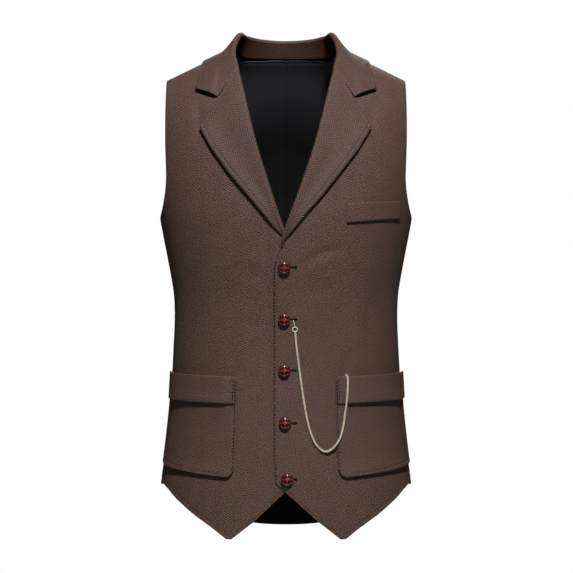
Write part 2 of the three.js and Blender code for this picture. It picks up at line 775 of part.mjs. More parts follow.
const MATERIALS = Object.fromEntries(
  Object.entries(COLOURS).map(([name, look]) => [name, new THREE.MeshStandardMaterial({ ...look, name })]),
);

const waistcoat = new THREE.Group();
waistcoat.name = "suit_waistcoat";

function add(name, geometry, material) {
  const mesh = new THREE.Mesh(geometry, MATERIALS[material]);
  mesh.name = name;
  waistcoat.add(mesh);
  return mesh;
}

// Turns a mesh so that its own axis points along a direction, at a place
function seat(mesh, axis, direction, place) {
  mesh.quaternion.setFromUnitVectors(axis, direction);
  mesh.position.copy(place);
}

add("front_left", frontPanel("left"), "wool");
add("front_right", mirrored(frontPanel("right")), "wool");

const back = backPanel(SATIN, 0, 0);
add("back_left", back, "satin");
add("back_right", mirrored(back), "satin");

const backLining = backPanel(LINING, -(SATIN + LINING) / 2 - SEAM, 1.5);
add("back_lining_left", backLining, "satin");
add("back_lining_right", mirrored(backLining), "satin");

add("lapel_left", lapel("left"), "wool");
add("lapel_right", mirrored(lapel("right")), "wool");
add("collar_stand", collarStand(), "wool");
add("collar_leaf", collarLeaf(), "wool");

add("pocket_left", patchPocket("left"), "wool");
add("pocket_right", mirrored(patchPocket("right")), "wool");
add("pocket_cuff_left", pocketCuff("left"), "wool");
add("pocket_cuff_right", mirrored(pocketCuff("right")), "wool");
add("breast_welt", breastWelt(), "wool");

BUTTONS.forEach(({ x, z }, i) => {
  const button = add(`button_${i + 1}`, buttonGeometry(), "leather");
  const spot = onLeftFront(x, z, WOOL / 2 + SEAM);
  seat(button, new THREE.Vector3(0, 1, 0), spot.normal, spot.point);
});

const ring = add(
  "chain_ring",
  new THREE.TorusGeometry(CHAIN_RING.radius, CHAIN_RING.wire, 8, 20),
  "brass",
);
const ringSpot = onLeftFront(CHAIN_RING.x, CHAIN_RING.z, WOOL / 2 + SEAM + CHAIN_RING.wire);
seat(ring, new THREE.Vector3(0, 0, 1), ringSpot.normal, ringSpot.point);

const hookTop = onLeftFront(CHAIN_HOOK.top.x, CHAIN_HOOK.top.z, WOOL / 2 + SEAM + CHAIN_RING.wire).point;
const hookEnd = onLeftFront(CHAIN_HOOK.bottom.x, CHAIN_HOOK.bottom.z, WOOL / 2 + SEAM + CHAIN_RING.wire).point;
const hookWay = hookEnd.clone().sub(hookTop);
const hook = add(
  "chain_hook",
  new THREE.CapsuleGeometry(CHAIN_RING.wire, hookWay.length() - 2 * CHAIN_RING.wire, 3, 8),
  "brass",
);
seat(hook, new THREE.Vector3(0, 1, 0), hookWay.normalize(), hookTop.add(hookEnd).multiplyScalar(0.5));

add("chain", chainTube(), "brass");

export default waistcoat;
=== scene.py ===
"""Looks of a man's five-button waistcoat in herringbone wool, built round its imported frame.

The garment is filled out as it is worn. Sizes are in millimetres unless a name ends in _m,
and left and right are the wearer's, so +X is the wearer's left and -Y the garment's front.
"""

import logging
import math
from dataclasses import dataclass, field
from enum import Enum
from typing import Any, Callable, NamedTuple, Sequence

import bpy
import numpy as np
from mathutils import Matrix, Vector


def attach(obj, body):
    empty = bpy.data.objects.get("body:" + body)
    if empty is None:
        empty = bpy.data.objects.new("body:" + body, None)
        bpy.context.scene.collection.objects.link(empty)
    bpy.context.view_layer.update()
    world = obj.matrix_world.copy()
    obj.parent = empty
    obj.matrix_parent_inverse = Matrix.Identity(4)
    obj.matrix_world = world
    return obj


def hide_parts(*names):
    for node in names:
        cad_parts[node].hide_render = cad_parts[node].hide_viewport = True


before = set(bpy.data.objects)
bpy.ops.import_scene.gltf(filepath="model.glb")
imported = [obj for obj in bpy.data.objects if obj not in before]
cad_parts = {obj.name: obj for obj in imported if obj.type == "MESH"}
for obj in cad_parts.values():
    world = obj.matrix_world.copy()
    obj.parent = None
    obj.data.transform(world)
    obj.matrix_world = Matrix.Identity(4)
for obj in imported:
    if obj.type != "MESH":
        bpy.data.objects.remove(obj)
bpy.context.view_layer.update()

log = logging.getLogger("waistcoat")

MM = 0.001
WOOL = 2.4
SATIN = 1.8
LINING = 1.0
SEAM = 0.3
LAY = 0.55
ON_PANEL = WOOL + LAY
SIDE_SEAM = math.radians(94)
SHOULDER_SEAM = 8.0
UNDERARM_Z = -236.0
SIDE_HEM_Z = -597.0
CLOTH_UNIT = 100.0


class Side(Enum):
    """The wearer's left or right."""

    LEFT = "left"
    RIGHT = "right"

    @property
    def sign(self) -> float:
        """+1 on the wearer's left, where X is positive."""
        return 1.0 if self is Side.LEFT else -1.0


class Slot(Enum):
    """The record's material slots."""

    WOOL = "wool_herringbone"
    SATIN = "satin"
    LEATHER = "button_leather"
    BRASS = "chain_brass"


def lerp(a: Any, b: Any, t: Any) -> Any:
    """Value at the share t of the way from a to b."""
    return a + (b - a) * t


def smoothstep(x: np.ndarray, low: float, high: float) -> np.ndarray:
    """Soft step from 0 at low to 1 at high."""
    t = np.clip((x - low) / (high - low), 0.0, 1.0)
    return t * t * (3 - 2 * t)


def unit(vectors: np.ndarray) -> np.ndarray:
    """Vectors of length one."""
    return vectors / np.maximum(np.linalg.norm(vectors, axis=-1, keepdims=True), 1e-12)


def dot(a: np.ndarray, b: np.ndarray) -> np.ndarray:
    """Dot products along the last axis, kept as a column."""
    return np.sum(a * b, axis=-1, keepdims=True)


def running_length(points: np.ndarray, axis: int) -> np.ndarray:
    """Distance along an axis of a grid from its first point."""
    steps = np.linalg.norm(np.diff(points, axis=axis), axis=-1)
    start = np.zeros_like(np.take(steps, [0], axis=axis))
    return np.concatenate([start, np.cumsum(steps, axis=axis)], axis=axis)


def spread(lengths: np.ndarray, first: Sequence[float], last: Sequence[float], count: int) -> np.ndarray:
    """Shares along rows of given lengths, close together at both ends.

    Args:
        lengths: length of each row.
        first: distances of the samples near the start.
        last: distances of the samples near the end, counted from the end.
        count: number of steps between the two groups.

    Returns:
        One row of shares from 0 to 1 for each length.
    """
    lengths = np.atleast_1d(np.asarray(lengths, float))[:, None]
    squeeze = np.minimum(1.0, 0.9 * lengths / (first[-1] + last[-1]))
    head = np.asarray(first)[None, :] * squeeze
    tail = lengths - np.asarray(last)[None, ::-1] * squeeze
    middle = head[:, -1:] + (tail[:, :1] - head[:, -1:]) * (np.arange(1, count)[None, :] / count)
    return np.concatenate([head, middle, tail], axis=1) / lengths


class Column:
    """One size of a table against height, as a smooth curve through its rows."""

    def __init__(self, heights: Sequence[float], values: Sequence[float]) -> None:
        """Sorts the rows by height and works out their slopes."""
        order = np.argsort(heights)
        self.z = np.asarray(heights, float)[order]
        self.v = np.asarray(values, float)[order]
        rows = np.arange(len(order))
        low = np.maximum(rows - 1, 0)
        high = np.minimum(rows + 1, len(order) - 1)
        self.slope = (self.v[high] - self.v[low]) / (self.z[high] - self.z[low])

    def at(self, z: np.ndarray) -> np.ndarray:
        """The size at some heights."""
        z = np.asarray(z, float)
        i = np.clip(np.searchsorted(self.z, z, side="right") - 1, 0, len(self.z) - 2)
        span = self.z[i + 1] - self.z[i]
        t = np.clip((z - self.z[i]) / span, 0, 1)
        s = 1 - t
        ends = self.v[i] * s * s * (1 + 2 * t) + self.v[i + 1] * t * t * (3 - 2 * t)
        return ends + span * s * t * (self.slope[i] * s - self.slope[i + 1] * t)


class SmoothLine:
    """A centripetal Catmull-Rom line through points in space."""

    def __init__(self, points: Sequence[Sequence[float]]) -> None:
        """Keeps the points, with one more at each end."""
        p = np.asarray(points, float)
        self.count = len(p)
        self.points = np.vstack([2 * p[0] - p[1], p, 2 * p[-1] - p[-2]])

    def at(self, share: np.ndarray) -> np.ndarray:
        """Points at shares of the way from the first point to the last, row by row."""
        place = np.clip(np.atleast_1d(share), 0, 1) * (self.count - 1)
        i = np.minimum(place.astype(int), self.count - 2)
        t = (place - i)[:, None]
        p0, p1, p2, p3 = (self.points[i + k] for k in range(4))
        gaps = [np.sqrt(np.linalg.norm(b - a, axis=1, keepdims=True)) for a, b in ((p0, p1), (p1, p2), (p2, p3))]
        d0, d1, d2 = (np.maximum(gap, 1e-6) for gap in gaps)
        out = ((p1 - p0) / d0 - (p2 - p0) / (d0 + d1) + (p2 - p1) / d1) * d1
        into = ((p2 - p1) / d1 - (p3 - p1) / (d1 + d2) + (p3 - p2) / d2) * d1
        square = -3 * p1 + 3 * p2 - 2 * out - into
        cube = 2 * p1 - 2 * p2 + out + into
        return p1 + out * t + square * t * t + cube * t * t * t

    def tangent(self, share: np.ndarray) -> np.ndarray:
        """Directions of the line at shares of the way."""
        step = 1e-4
        share = np.atleast_1d(share)
        return unit(self.at(np.minimum(share + step, 1)) - self.at(np.maximum(share - step, 0)))


def along(points: np.ndarray, share: np.ndarray) -> np.ndarray:
    """Points on a line of straight stretches, by the share of its length."""
    points = np.asarray(points, float)
    length = running_length(points, 0)
    at = np.asarray(share) * length[-1]
    return np.stack([np.interp(at, length, points[:, k]) for k in range(points.shape[1])], axis=-1)


class Section(NamedTuple):
    """One level of the figure: half width, and depth to the front and to the back."""

    z: float
    half: float
    front: float
    back: float


class Figure:
    """The general figure that the cloth is cut for, as one closed smooth surface."""

    SECTIONS = (
        Section(60, 190, 108, 104),
        Section(0, 190, 112, 108),
        Section(-60, 187.5, 115, 112),
        Section(-130, 184, 118, 114),
        Section(-200, 176.8, 123, 112),
        Section(-236, 171.8, 124, 108),
        Section(-290, 161.8, 120, 100),
        Section(-346, 153, 113, 92),
        Section(-415, 154, 110, 92),
        Section(-484, 158, 112, 98),
        Section(-539, 163.5, 116, 105),
        Section(-600, 171.3, 120, 110),
        Section(-690, 176, 123, 112),
    )
    SQUARENESS = 2.3
    NECK_X = 68.0
    SHOULDER_SLOPE = 0.506
    CREST_SOFTNESS = 40.0
    CAP_HEIGHT = 170.0

    def __init__(self) -> None:
        """Makes the smooth columns of the table."""
        heights = [s.z for s in self.SECTIONS]
        self.half = Column(heights, [s.half for s in self.SECTIONS]).at
        self._front = Column(heights, [s.front for s in self.SECTIONS])
        self._back = Column(heights, [s.back for s in self.SECTIONS])

    def depth(self, z: np.ndarray, back: np.ndarray) -> np.ndarray:
        """Depth of the front or of the back at some heights."""
        return np.where(back, self._back.at(z), self._front.at(z))

    def crest(self, x: np.ndarray) -> np.ndarray:
        """Height of the shoulder line."""
        soft = self.CREST_SOFTNESS
        return self.SHOULDER_SLOPE * (math.hypot(self.NECK_X, soft) - np.hypot(x, soft))

    def point(self, spots: np.ndarray) -> np.ndarray:
        """Points of the surface.

        Args:
            spots: angles round from the front centre, and distances below the shoulder
                line, which are negative beyond it.

        Returns:
            Points, with the front at negative Y.
        """
        angle, down = spots[..., 0], spots[..., 1]
        turn = np.where(down < 0, math.pi - angle, angle)
        reach = np.abs(down)
        back = np.cos(turn) < 0
        roll = np.minimum(reach / self.CAP_HEIGHT, math.pi / 2)
        drop = self.CAP_HEIGHT * (1 - np.cos(roll)) + np.maximum(0, reach - self.CAP_HEIGHT * math.pi / 2)
        power = 2 / self.SQUARENESS
        across = np.sign(np.sin(turn)) * np.abs(np.sin(turn)) ** power
        ahead = np.abs(np.cos(turn)) ** power
        x = self.half(np.zeros_like(turn)) * across
        for _ in range(8):
            z = self.crest(x) - drop
            x = self.half(z) * across
        y = self.depth(z, back) * np.sin(roll) * ahead
        return np.stack([x, np.where(back, y, -y), z], axis=-1)

    def locate(self, x: np.ndarray, z: np.ndarray, back: bool = False) -> np.ndarray:
        """Angle and distance below the shoulder line of the surface's points at x and z."""
        x, z = np.broadcast_arrays(np.asarray(x, float), np.asarray(z, float))
        sine = np.minimum(np.abs(x / self.half(z)), 1) ** (self.SQUARENESS / 2)
        angle = np.sign(x) * np.arcsin(sine)
        drop = np.maximum(self.crest(x) - z, 0)
        roll = np.arccos(1 - np.minimum(drop / self.CAP_HEIGHT, 1))
        down = self.CAP_HEIGHT * roll + np.maximum(0, drop - self.CAP_HEIGHT)
        return np.stack([math.pi - angle if back else angle, down], axis=-1)

    def down_at(self, angle: np.ndarray, z: np.ndarray) -> np.ndarray:
        """Distance below the shoulder line at an angle and a height."""
        x = self.half(z) * np.abs(np.sin(angle)) ** (2 / self.SQUARENESS)
        return self.locate(x, z)[..., 1]

    def _depth_squared(self, x: np.ndarray, z: np.ndarray, back: np.ndarray) -> np.ndarray:
        """Square of the surface's depth, which goes on below zero outside it."""
        below = np.minimum((self.crest(x) - z) / self.CAP_HEIGHT, 1)
        inside = 1 - np.abs(x / self.half(z)) ** self.SQUARENESS
        across = np.sign(inside) * np.abs(inside) ** (2 / self.SQUARENESS)
        return self.depth(z, back) ** 2 * (2 * below - below * below) * across

    def _gradient(self, points: np.ndarray) -> np.ndarray:
        """Direction in which the points leave the surface fastest."""
        x, y, z = points[..., 0], points[..., 1], points[..., 2]
        back = y > 0
        step = 0.5
        over_x = self._depth_squared(x - step, z, back) - self._depth_squared(x + step, z, back)
        over_z = self._depth_squared(x, z - step, back) - self._depth_squared(x, z + step, back)
        return np.stack([over_x / (2 * step), 2 * y, over_z / (2 * step)], axis=-1)

    def outward(self, points: np.ndarray) -> np.ndarray:
        """Unit normals that point out of the figure."""
        return unit(self._gradient(points))

    def height(self, points: np.ndarray) -> np.ndarray:
        """Distance of points above the surface."""
        y = points[..., 1]
        excess = y * y - self._depth_squared(points[..., 0], points[..., 2], y > 0)
        return excess / np.linalg.norm(self._gradient(points), axis=-1)

    def settle(self, points: np.ndarray, height: np.ndarray) -> np.ndarray:
        """Points moved along the normal until they are at a height above the surface."""
        moved = np.array(points, float)
        for _ in range(4):
            moved = moved + self.outward(moved) * (height - self.height(moved))[..., None]
        return moved

    def girth(self, points: np.ndarray) -> np.ndarray:
        """Distance round the figure from the front or back centre to each point."""
        x, z = points[..., 0], points[..., 2]
        half, depth = self.half(z), self.depth(z, points[..., 1] > 0)
        end = np.arcsin(np.minimum(np.abs(x) / half, 1) ** (self.SQUARENESS / 2))
        steps = np.linspace(0, 1, 25)[:, None, None] if x.ndim == 2 else np.linspace(0, 1, 25)[:, None]
        turn = end[None] * steps
        power = 2 / self.SQUARENESS
        ring = np.stack([half * np.sin(turn) ** power, depth * np.cos(turn) ** power], axis=-1)
        return np.sign(x) * np.sum(np.linalg.norm(np.diff(ring, axis=0), axis=-1), axis=0)


class Crease(NamedTuple):
    """A soft trough or ridge between two places; depth is negative for a trough."""

    back: bool
    x0: float
    z0: float
    x1: float
    z1: float
    width: float
    depth: float
    bow: float = 0.0


@dataclass(frozen=True)
class Drape:
    """How far the cloth stands off its plain form: creases given one by one, and slight waves."""

    creases: tuple[Crease, ...] = (
        Crease(False, 22, -300, 72, -276, 6.5, -1.9, 4),
        Crease(False, 18, -312, 60, -292, 8.0, 0.7, 3),
        Crease(False, 24, -334, 74, -322, 7.0, -0.9, -3),
        Crease(False, 78, -428, 79, -446, 6.0, -2.0, 1),
        Crease(False, 80, -372, 80, -440, 10.0, -0.9, 3),
        Crease(False, -24, -318, -66, -300, 7.0, -1.2, 3),
        Crease(False, -22, -386, -60, -372, 8.0, -0.7, 2),
        Crease(False, -66, -420, -74, -446, 5.0, -1.4, 2),
        Crease(False, -118, -82, -118, -128, 7.0, -1.7, 2),
        Crease(False, 116, -80, 118, -126, 7.0, -1.2, -2),
        Crease(False, -112, -250, -132, -330, 13.0, -1.6, -6),
        Crease(False, -88, -262, -104, -372, 12.0, 1.0, -5),
        Crease(False, 128, -262, 124, -356, 13.0, -1.3, 5),
        Crease(False, 102, -300, 92, -390, 14.0, 0.9, 5),
        Crease(False, -30, -458, -60, -440, 9.0, -0.6, 2),
        Crease(False, 20, -598, 64, -612, 9.0, -0.7, -3),
        Crease(False, -26, -602, -70, -622, 10.0, -0.7, 3),
        Crease(True, 0, -320, 58, -300, 12.0, -1.8, 6),
        Crease(True, -6, -346, -66, -330, 12.0, -1.6, 5),
        Crease(True, 18, -378, 96, -352, 14.0, -2.0, 8),
        Crease(True, -22, -396, -104, -366, 15.0, -1.8, 7),
        Crease(True, 96, -238, 128, -318, 13.0, -2.0, -7),
        Crease(True, -94, -244, -126, -330, 12.0, -1.8, 6),
        Crease(True, 30, -120, 92, -150, 14.0, -1.3, -7),
        Crease(True, -34, -126, -96, -158, 13.0, -1.2, 6),
        Crease(True, 66, -462, 60, -632, 16.0, -1.8, 5),
        Crease(True, -70, -470, -62, -640, 15.0, -1.6, -4),
        Crease(True, 118, -450, 124, -600, 14.0, 1.2, 4),
        Crease(True, -120, -456, -126, -598, 15.0, 1.1, -4),
    )
    wave: float = 0.35

    def relief(self, points: np.ndarray) -> np.ndarray:
        """Distance by which the cloth stands off at points of the plain form."""
        x, y, z = points[..., 0], points[..., 1], points[..., 2]
        total = self.wave * np.sin(x / 31 + z / 83 + 0.6) * np.sin(z / 47 - x / 112 + 1.1)
        total = total + 0.6 * self.wave * np.sin(x / 17 - z / 39) * np.sin(z / 23 + 2.0)
        for crease in self.creases:
            run = np.array([crease.x1 - crease.x0, crease.z1 - crease.z0])
            length = float(np.hypot(*run))
            run = run / length
            share = ((x - crease.x0) * run[0] + (z - crease.z0) * run[1]) / length
            off = (x - crease.x0) * -run[1] + (z - crease.z0) * run[0]
            off = off - crease.bow * np.sin(math.pi * np.clip(share, 0, 1))
            taper = smoothstep(share, -0.25, 0.35) * (1 - smoothstep(share, 0.55, 1.3))
            shape = np.exp(-((off / crease.width) ** 2)) - 0.35 * np.exp(-((off / (2.2 * crease.width)) ** 2))
            total = total + np.where((y > 0) == crease.back, crease.depth * taper * shape, 0.0)
        return total


@dataclass
class Grid:
    """Middle layer of a cloth piece in rows and columns.

    Attributes:
        points: places in millimetres.
        normals: directions towards the piece's right side.
        cloth: distances across and along the cut cloth.
    """

    points: np.ndarray
    normals: np.ndarray
    cloth: np.ndarray

    def mirrored(self, side: Side) -> "Grid":
        """The grid on its own side of the body, made in the wearer's own directions."""
        flip = np.array([side.sign, 1, 1])
        return Grid(self.points * flip, self.normals * flip, self.cloth * np.array([side.sign, 1]))

    def edge_distances(self) -> dict[str, np.ndarray]:
        """Distance of each point from the four edges, along its row or column."""
        across = running_length(self.points, 1)
        up = running_length(self.points, 0)
        return {
            "start": across,
            "end": across[:, -1:] - across,
            "bottom": up,
            "top": up[-1:, :] - up,
        }

    def area(self) -> float:
        """Area of the middle layer in square millimetres."""
        p = self.points
        a, b = p[1:, 1:] - p[:-1, :-1], p[1:, :-1] - p[:-1, 1:]
        return float(np.sum(np.linalg.norm(np.cross(a, b), axis=-1)) / 2)

    def spans(self) -> tuple[float, float]:
        """Longest row and longest column in millimetres."""
        return (
            float(running_length(self.points, 1)[:, -1].max()),
            float(running_length(self.points, 0)[-1].max()),
        )


class Body:
    """The figure with the drape of the cloth over it, which every panel follows."""

    def __init__(self) -> None:
        """Sets up the figure and its creases."""
        self.figure = Figure()
        self.drape = Drape()

    def lay(self, spots: np.ndarray, lift: np.ndarray, side: Side) -> tuple[np.ndarray, np.ndarray]:
        """Points and normals of cloth that lies at a height over the form.

        Args:
            spots: angles and distances in the wearer's own directions.
            lift: height above the plain form.
            side: side of the body, which the creases depend on.

        Returns:
            Points and normals in the wearer's own directions.
        """
        base = self.figure.point(spots)
        normals = self.figure.outward(base)
        relief = self.drape.relief(base * np.array([side.sign, 1, 1]))
        return base + normals * (lift + relief)[..., None], normals

    def lap_lift(self, base: np.ndarray, side: Side) -> np.ndarray:
        """How far the left front is lifted where it laps over the right one."""
        if side is Side.RIGHT:
            return np.zeros(base.shape[:-1])
        near = 1 - smoothstep(base[..., 0], 20, 78)
        return ON_PANEL * near * (1 - smoothstep(base[..., 2], -250, -110))

    def on_front(self, x: np.ndarray, z: np.ndarray, height: Any, side: Side) -> tuple[np.ndarray, np.ndarray]:
        """Points and normals at a height above a front's middle layer."""
        spots = self.figure.locate(x, z)
        lap = self.lap_lift(self.figure.point(spots), side)
        return self.lay(spots, lap + height, side)

    def cloth(self, spots: np.ndarray) -> np.ndarray:
        """Distances across and along the cloth at spots of the form."""
        base = self.figure.point(spots)
        return np.stack([self.figure.girth(base), spots[..., 1]], axis=-1)


BODY = Body()


class Value:
    """A number that varies over a surface, which takes part in sums as a number does."""

    def __init__(self, graph: "Graph", socket: bpy.types.NodeSocket) -> None:
        """Wraps an output socket of a graph."""
        self.graph = graph
        self.socket = socket

    def _math(self, operation: str, *others: Any, first: bool = True) -> "Value":
        """Adds a Math node; with first False this value is its second input."""
        values = [self, *others] if first else [*others, self]
        node = self.graph.add("ShaderNodeMath", {"operation": operation}, dict(enumerate(values)))
        return Value(self.graph, node.outputs[0])

    def __add__(self, other: Any) -> "Value":
        """Sum."""
        return self._math("ADD", other)

    __radd__ = __add__

    def __sub__(self, other: Any) -> "Value":
        """Difference."""
        return self._math("SUBTRACT", other)

    def __rsub__(self, other: Any) -> "Value":
        """Difference from a number."""
        return self._math("SUBTRACT", other, first=False)

    def __mul__(self, other: Any) -> "Value":
        """Product."""
        return self._math("MULTIPLY", other)

    __rmul__ = __mul__

    def __truediv__(self, other: Any) -> "Value":
        """Quotient."""
        return self._math("DIVIDE", other)

    def __rtruediv__(self, other: Any) -> "Value":
        """Quotient of a number."""
        return self._math("DIVIDE", other, first=False)

    def __neg__(self) -> "Value":
        """Negative."""
        return self._math("MULTIPLY", -1.0)

    def floor(self) -> "Value":
        """Whole part."""
        return self._math("FLOOR")

    def fract(self) -> "Value":
        """Part after the whole number."""
        return self._math("FRACT")

    def sine(self) -> "Value":
        """Sine of an angle in radians."""
        return self._math("SINE")

    def absolute(self) -> "Value":
        """Size without its sign."""
        return self._math("ABSOLUTE")

    def clamp(self) -> "Value":
        """The value kept from 0 to 1."""
        return self._math("MAXIMUM", 0.0)._math("MINIMUM", 1.0)

    def step(self, low: float, high: float) -> "Value":
        """Soft step from 0 at low to 1 at high."""
        node = self.graph.add(
            "ShaderNodeMapRange",
            {"interpolation_type": "SMOOTHSTEP"},
            {"Value": self, "From Min": low, "From Max": high},
        )
        return Value(self.graph, node.outputs[0])


class Graph:
    """A material and the nodes that dress it."""

    def __init__(self, name: str, **constants: Any) -> None:
        """Makes the material with its shader.

        Args:
            name: the material's name.
            **constants: fixed values of the shader's sockets, with _ for a space.
        """
        self.material = bpy.data.materials.new(name)
        self.material.use_nodes = True
        self.material.node_tree.nodes.clear()
        named = {key.replace("_", " "): value for key, value in constants.items()}
        self.shader = self.add("ShaderNodeBsdfPrincipled", {}, named)
        self.add("ShaderNodeOutputMaterial", {}, {"Surface": self.shader.outputs[0]})
        colour = tuple(named.get("Base Color", (0.5, 0.5, 0.5, 1)))
        self.material.diffuse_color = colour

    def add(self, kind: str, settings: dict[str, Any], inputs: dict[Any, Any]) -> bpy.types.Node:
        """Adds a node.

        Args:
            kind: the node's type.
            settings: its own settings, and the stops of a ramp under "stops".
            inputs: values or links, by a socket's name or number.

        Returns:
            The node.
        """
        node = self.material.node_tree.nodes.new(kind)
        for key, value in settings.items():
            if key == "stops":
                self._set_stops(node.color_ramp, value)
            else:
                setattr(node, key, value)
        for key, value in inputs.items():
            source = value.socket if isinstance(value, Value) else value
            if isinstance(source, bpy.types.NodeSocket):
                self.material.node_tree.links.new(source, node.inputs[key])
            else:
                node.inputs[key].default_value = source
        return node

    @staticmethod
    def _set_stops(ramp: bpy.types.ColorRamp, stops: Sequence[tuple[float, tuple]]) -> None:
        """Gives a colour ramp its stops."""
        while len(ramp.elements) < len(stops):
            ramp.elements.new(1.0)
        for element, (position, colour) in zip(ramp.elements, stops):
            element.position = position
            element.color = colour

    def uv(self, layer: str) -> tuple[Value, Value]:
        """The two values of a UV layer."""
        node = self.add("ShaderNodeUVMap", {"uv_map": layer}, {})
        parts = self.add("ShaderNodeSeparateXYZ", {}, {0: node.outputs[0]})
        return Value(self, parts.outputs[0]), Value(self, parts.outputs[1])

    def vector(self, x: Any, y: Any, z: Any = 0.0) -> bpy.types.NodeSocket:
        """A vector of three values."""
        return self.add("ShaderNodeCombineXYZ", {}, {0: x, 1: y, 2: z}).outputs[0]

    def noise(self, place: Any, scale: float, detail: float = 2.0, rough: float = 0.5) -> Value:
        """Soft noise at a place, around 0.5."""
        inputs = {"Vector": place, "Scale": scale, "Detail": detail, "Roughness": rough}
        return Value(self, self.add("ShaderNodeTexNoise", {}, inputs).outputs[0])

    def mix(self, factor: Any, a: Any, b: Any) -> bpy.types.NodeSocket:
        """A colour between two."""
        return self.add("ShaderNodeMix", {"data_type": "RGBA"}, {0: factor, 6: a, 7: b}).outputs[2]

    def bump(self, height: Value, distance_m: float, strength: float) -> None:
        """Gives the shader its bump."""
        inputs = {"Height": height, "Distance": distance_m, "Strength": strength}
        node = self.add("ShaderNodeBump", {}, inputs)
        self.link("Normal", node.outputs[0])

    def link(self, socket: str, source: Any) -> None:
        """Links a varying value or colour to the shader."""
        source = source.socket if isinstance(source, Value) else source
        self.material.node_tree.links.new(source, self.shader.inputs[socket])

    def object_place(self) -> bpy.types.NodeSocket:
        """Place on the object, in metres."""
        return self.add("ShaderNodeTexCoord", {}, {}).outputs["Object"]


@dataclass(frozen=True)
class HerringboneWool:
    """Brown and taupe wool woven in a broken zigzag twill."""

    dark: tuple = (0.009, 0.0040, 0.0022, 1)
    light: tuple = (0.213, 0.1150, 0.0810, 1)
    stripe: float = 12.0
    pitch: float = 3.2
    twill: float = 0.52
    fleck: float = 3.4
    mottle: float = 0.3
    depth_m: float = 0.00036
    specular: float = 0.55

    def material(self, name: str) -> bpy.types.Material:
        """The cloth's material, which reads the layer of cloth distances."""
        graph = Graph(
            name,
            Base_Color=(0.115, 0.062, 0.043, 1),
            Roughness=0.7,
            Specular_IOR_Level=self.specular,
        )
        u, v = graph.uv("cloth")
        place = graph.vector(u, v)
        sway = graph.noise(place, 9.0, 2.0) - 0.5
        x = u * CLOTH_UNIT + sway * 1.6
        y = v * CLOTH_UNIT + (graph.noise(place, 14.0, 2.0) - 0.5) * 1.4
        stripe = x / self.stripe
        parity = (stripe.floor() * 0.5).fract() * 2.0
        lean = 1.0 - 2.0 * parity
        phase = (y + lean * x) / self.pitch + parity * 0.5
        patchy = graph.noise(place, 17.0, 2.0, 0.6).step(0.3, 0.66)
        twill = (phase * (2 * math.pi)).sine() * (0.45 + patchy * 0.75)
        yarn = graph.noise(place, 100.0, 2.0, 0.7) - 0.5
        fleck = graph.noise(place, 52.0, 3.0, 0.75) - 0.5
        mottle = graph.noise(place, 5.0, 3.0, 0.6) - 0.5
        tone = 0.5 + twill * self.twill + (yarn + fleck) * self.fleck + mottle * self.mottle
        graph.link("Base Color", graph.mix(tone.clamp(), self.dark, self.light))
        graph.bump(twill * 0.3 + yarn + fleck * 0.8, self.depth_m, 0.8)
        return graph.material


@dataclass(frozen=True)
class BlackSatin:
    """Black satin lining cloth with a faint blue cast."""

    base: tuple = (0.0125, 0.0128, 0.0150, 1)
    lit: tuple = (0.0170, 0.0175, 0.0205, 1)
    roughness: float = 0.42
    specular: float = 0.45
    sheen: float = 0.05
    # painted light: the lining's pale colour near the neck
    neck: tuple = (0.088, 0.088, 0.107, 1)
    # painted shade: the lining's near-black colour further down
    deep_painted_shade: tuple = (0.0008, 0.0008, 0.0009, 1)

    def material(self, name: str, lining: bool = False) -> bpy.types.Material:
        """The satin's material; the lining's has painted light near the neck and painted shade lower down."""
        graph = Graph(
            name,
            Base_Color=self.base,
            Roughness=self.roughness,
            Specular_IOR_Level=self.specular,
            Sheen_Weight=self.sheen,
            Sheen_Roughness=0.4,
        )
        u, v = graph.uv("cloth")
        place = graph.vector(u, v)
        broad = graph.noise(place, 2.2, 3.0, 0.55)
        floats = (v * CLOTH_UNIT * 4.5).sine() * 0.1 + graph.noise(graph.vector(u * 8.0, v), 60.0, 2.0)
        colour = graph.mix(broad.step(0.3, 0.7), self.base, self.lit)
        if lining:
            # the lining's colour runs from painted light at the neck to painted shade further down
            colour = graph.mix(v.step(0.3, 2.5), self.neck, self.deep_painted_shade)
        graph.link("Base Color", colour)
        graph.link("Roughness", self.roughness + (broad - 0.5) * 0.12)
        graph.bump(floats * 0.4 + broad * 2.0, 0.0001, 0.5)
        return graph.material


@dataclass(frozen=True)
class PlaitedLeather:
    """Polished cognac leather, with painted shade in the grooves of the plait."""

    # painted shade: near-black colour of the plait's grooves
    groove: tuple = (0.0040, 0.0010, 0.0006, 1)
    strap: tuple = (0.062, 0.0078, 0.0032, 1)
    # bright orange of wear and painted highlight on the tops of the straps
    wear_and_highlight: tuple = (0.460, 0.0760, 0.0210, 1)

    def material(self, name: str) -> bpy.types.Material:
        """The leather's material, which reads the plait's height from its layer."""
        graph = Graph(
            name,
            Base_Color=self.strap,
            Roughness=0.28,
            Specular_IOR_Level=0.12,
            Coat_Weight=0.8,
            Coat_Roughness=0.28,
            Coat_IOR=2.0,
        )
        height, wear_and_highlight = graph.uv("plait")
        place = graph.object_place()
        grain = graph.noise(place, 1900.0, 3.0, 0.6)
        cloud = graph.noise(place, 380.0, 2.0, 0.5)
        # painted shade: the strap colour darkens to near black where the plait is low
        deep_painted_shade = graph.mix(height.step(0.12, 0.55), self.groove, self.strap)
        # wear and painted highlight: the bright orange shows on the tops of the middle straps
        share = ((wear_and_highlight + (cloud - 0.5) * 0.7) * height.step(0.5, 0.95)).clamp()
        graph.link("Base Color", graph.mix(share, deep_painted_shade, self.wear_and_highlight))
        graph.link("Roughness", 0.3 + (grain - 0.5) * 0.2 + (1.0 - height) * 0.2)
        graph.link("Coat Weight", height.step(0.3, 0.85) * 1.0)
        graph.bump(grain, 0.00002, 0.4)
        return graph.material


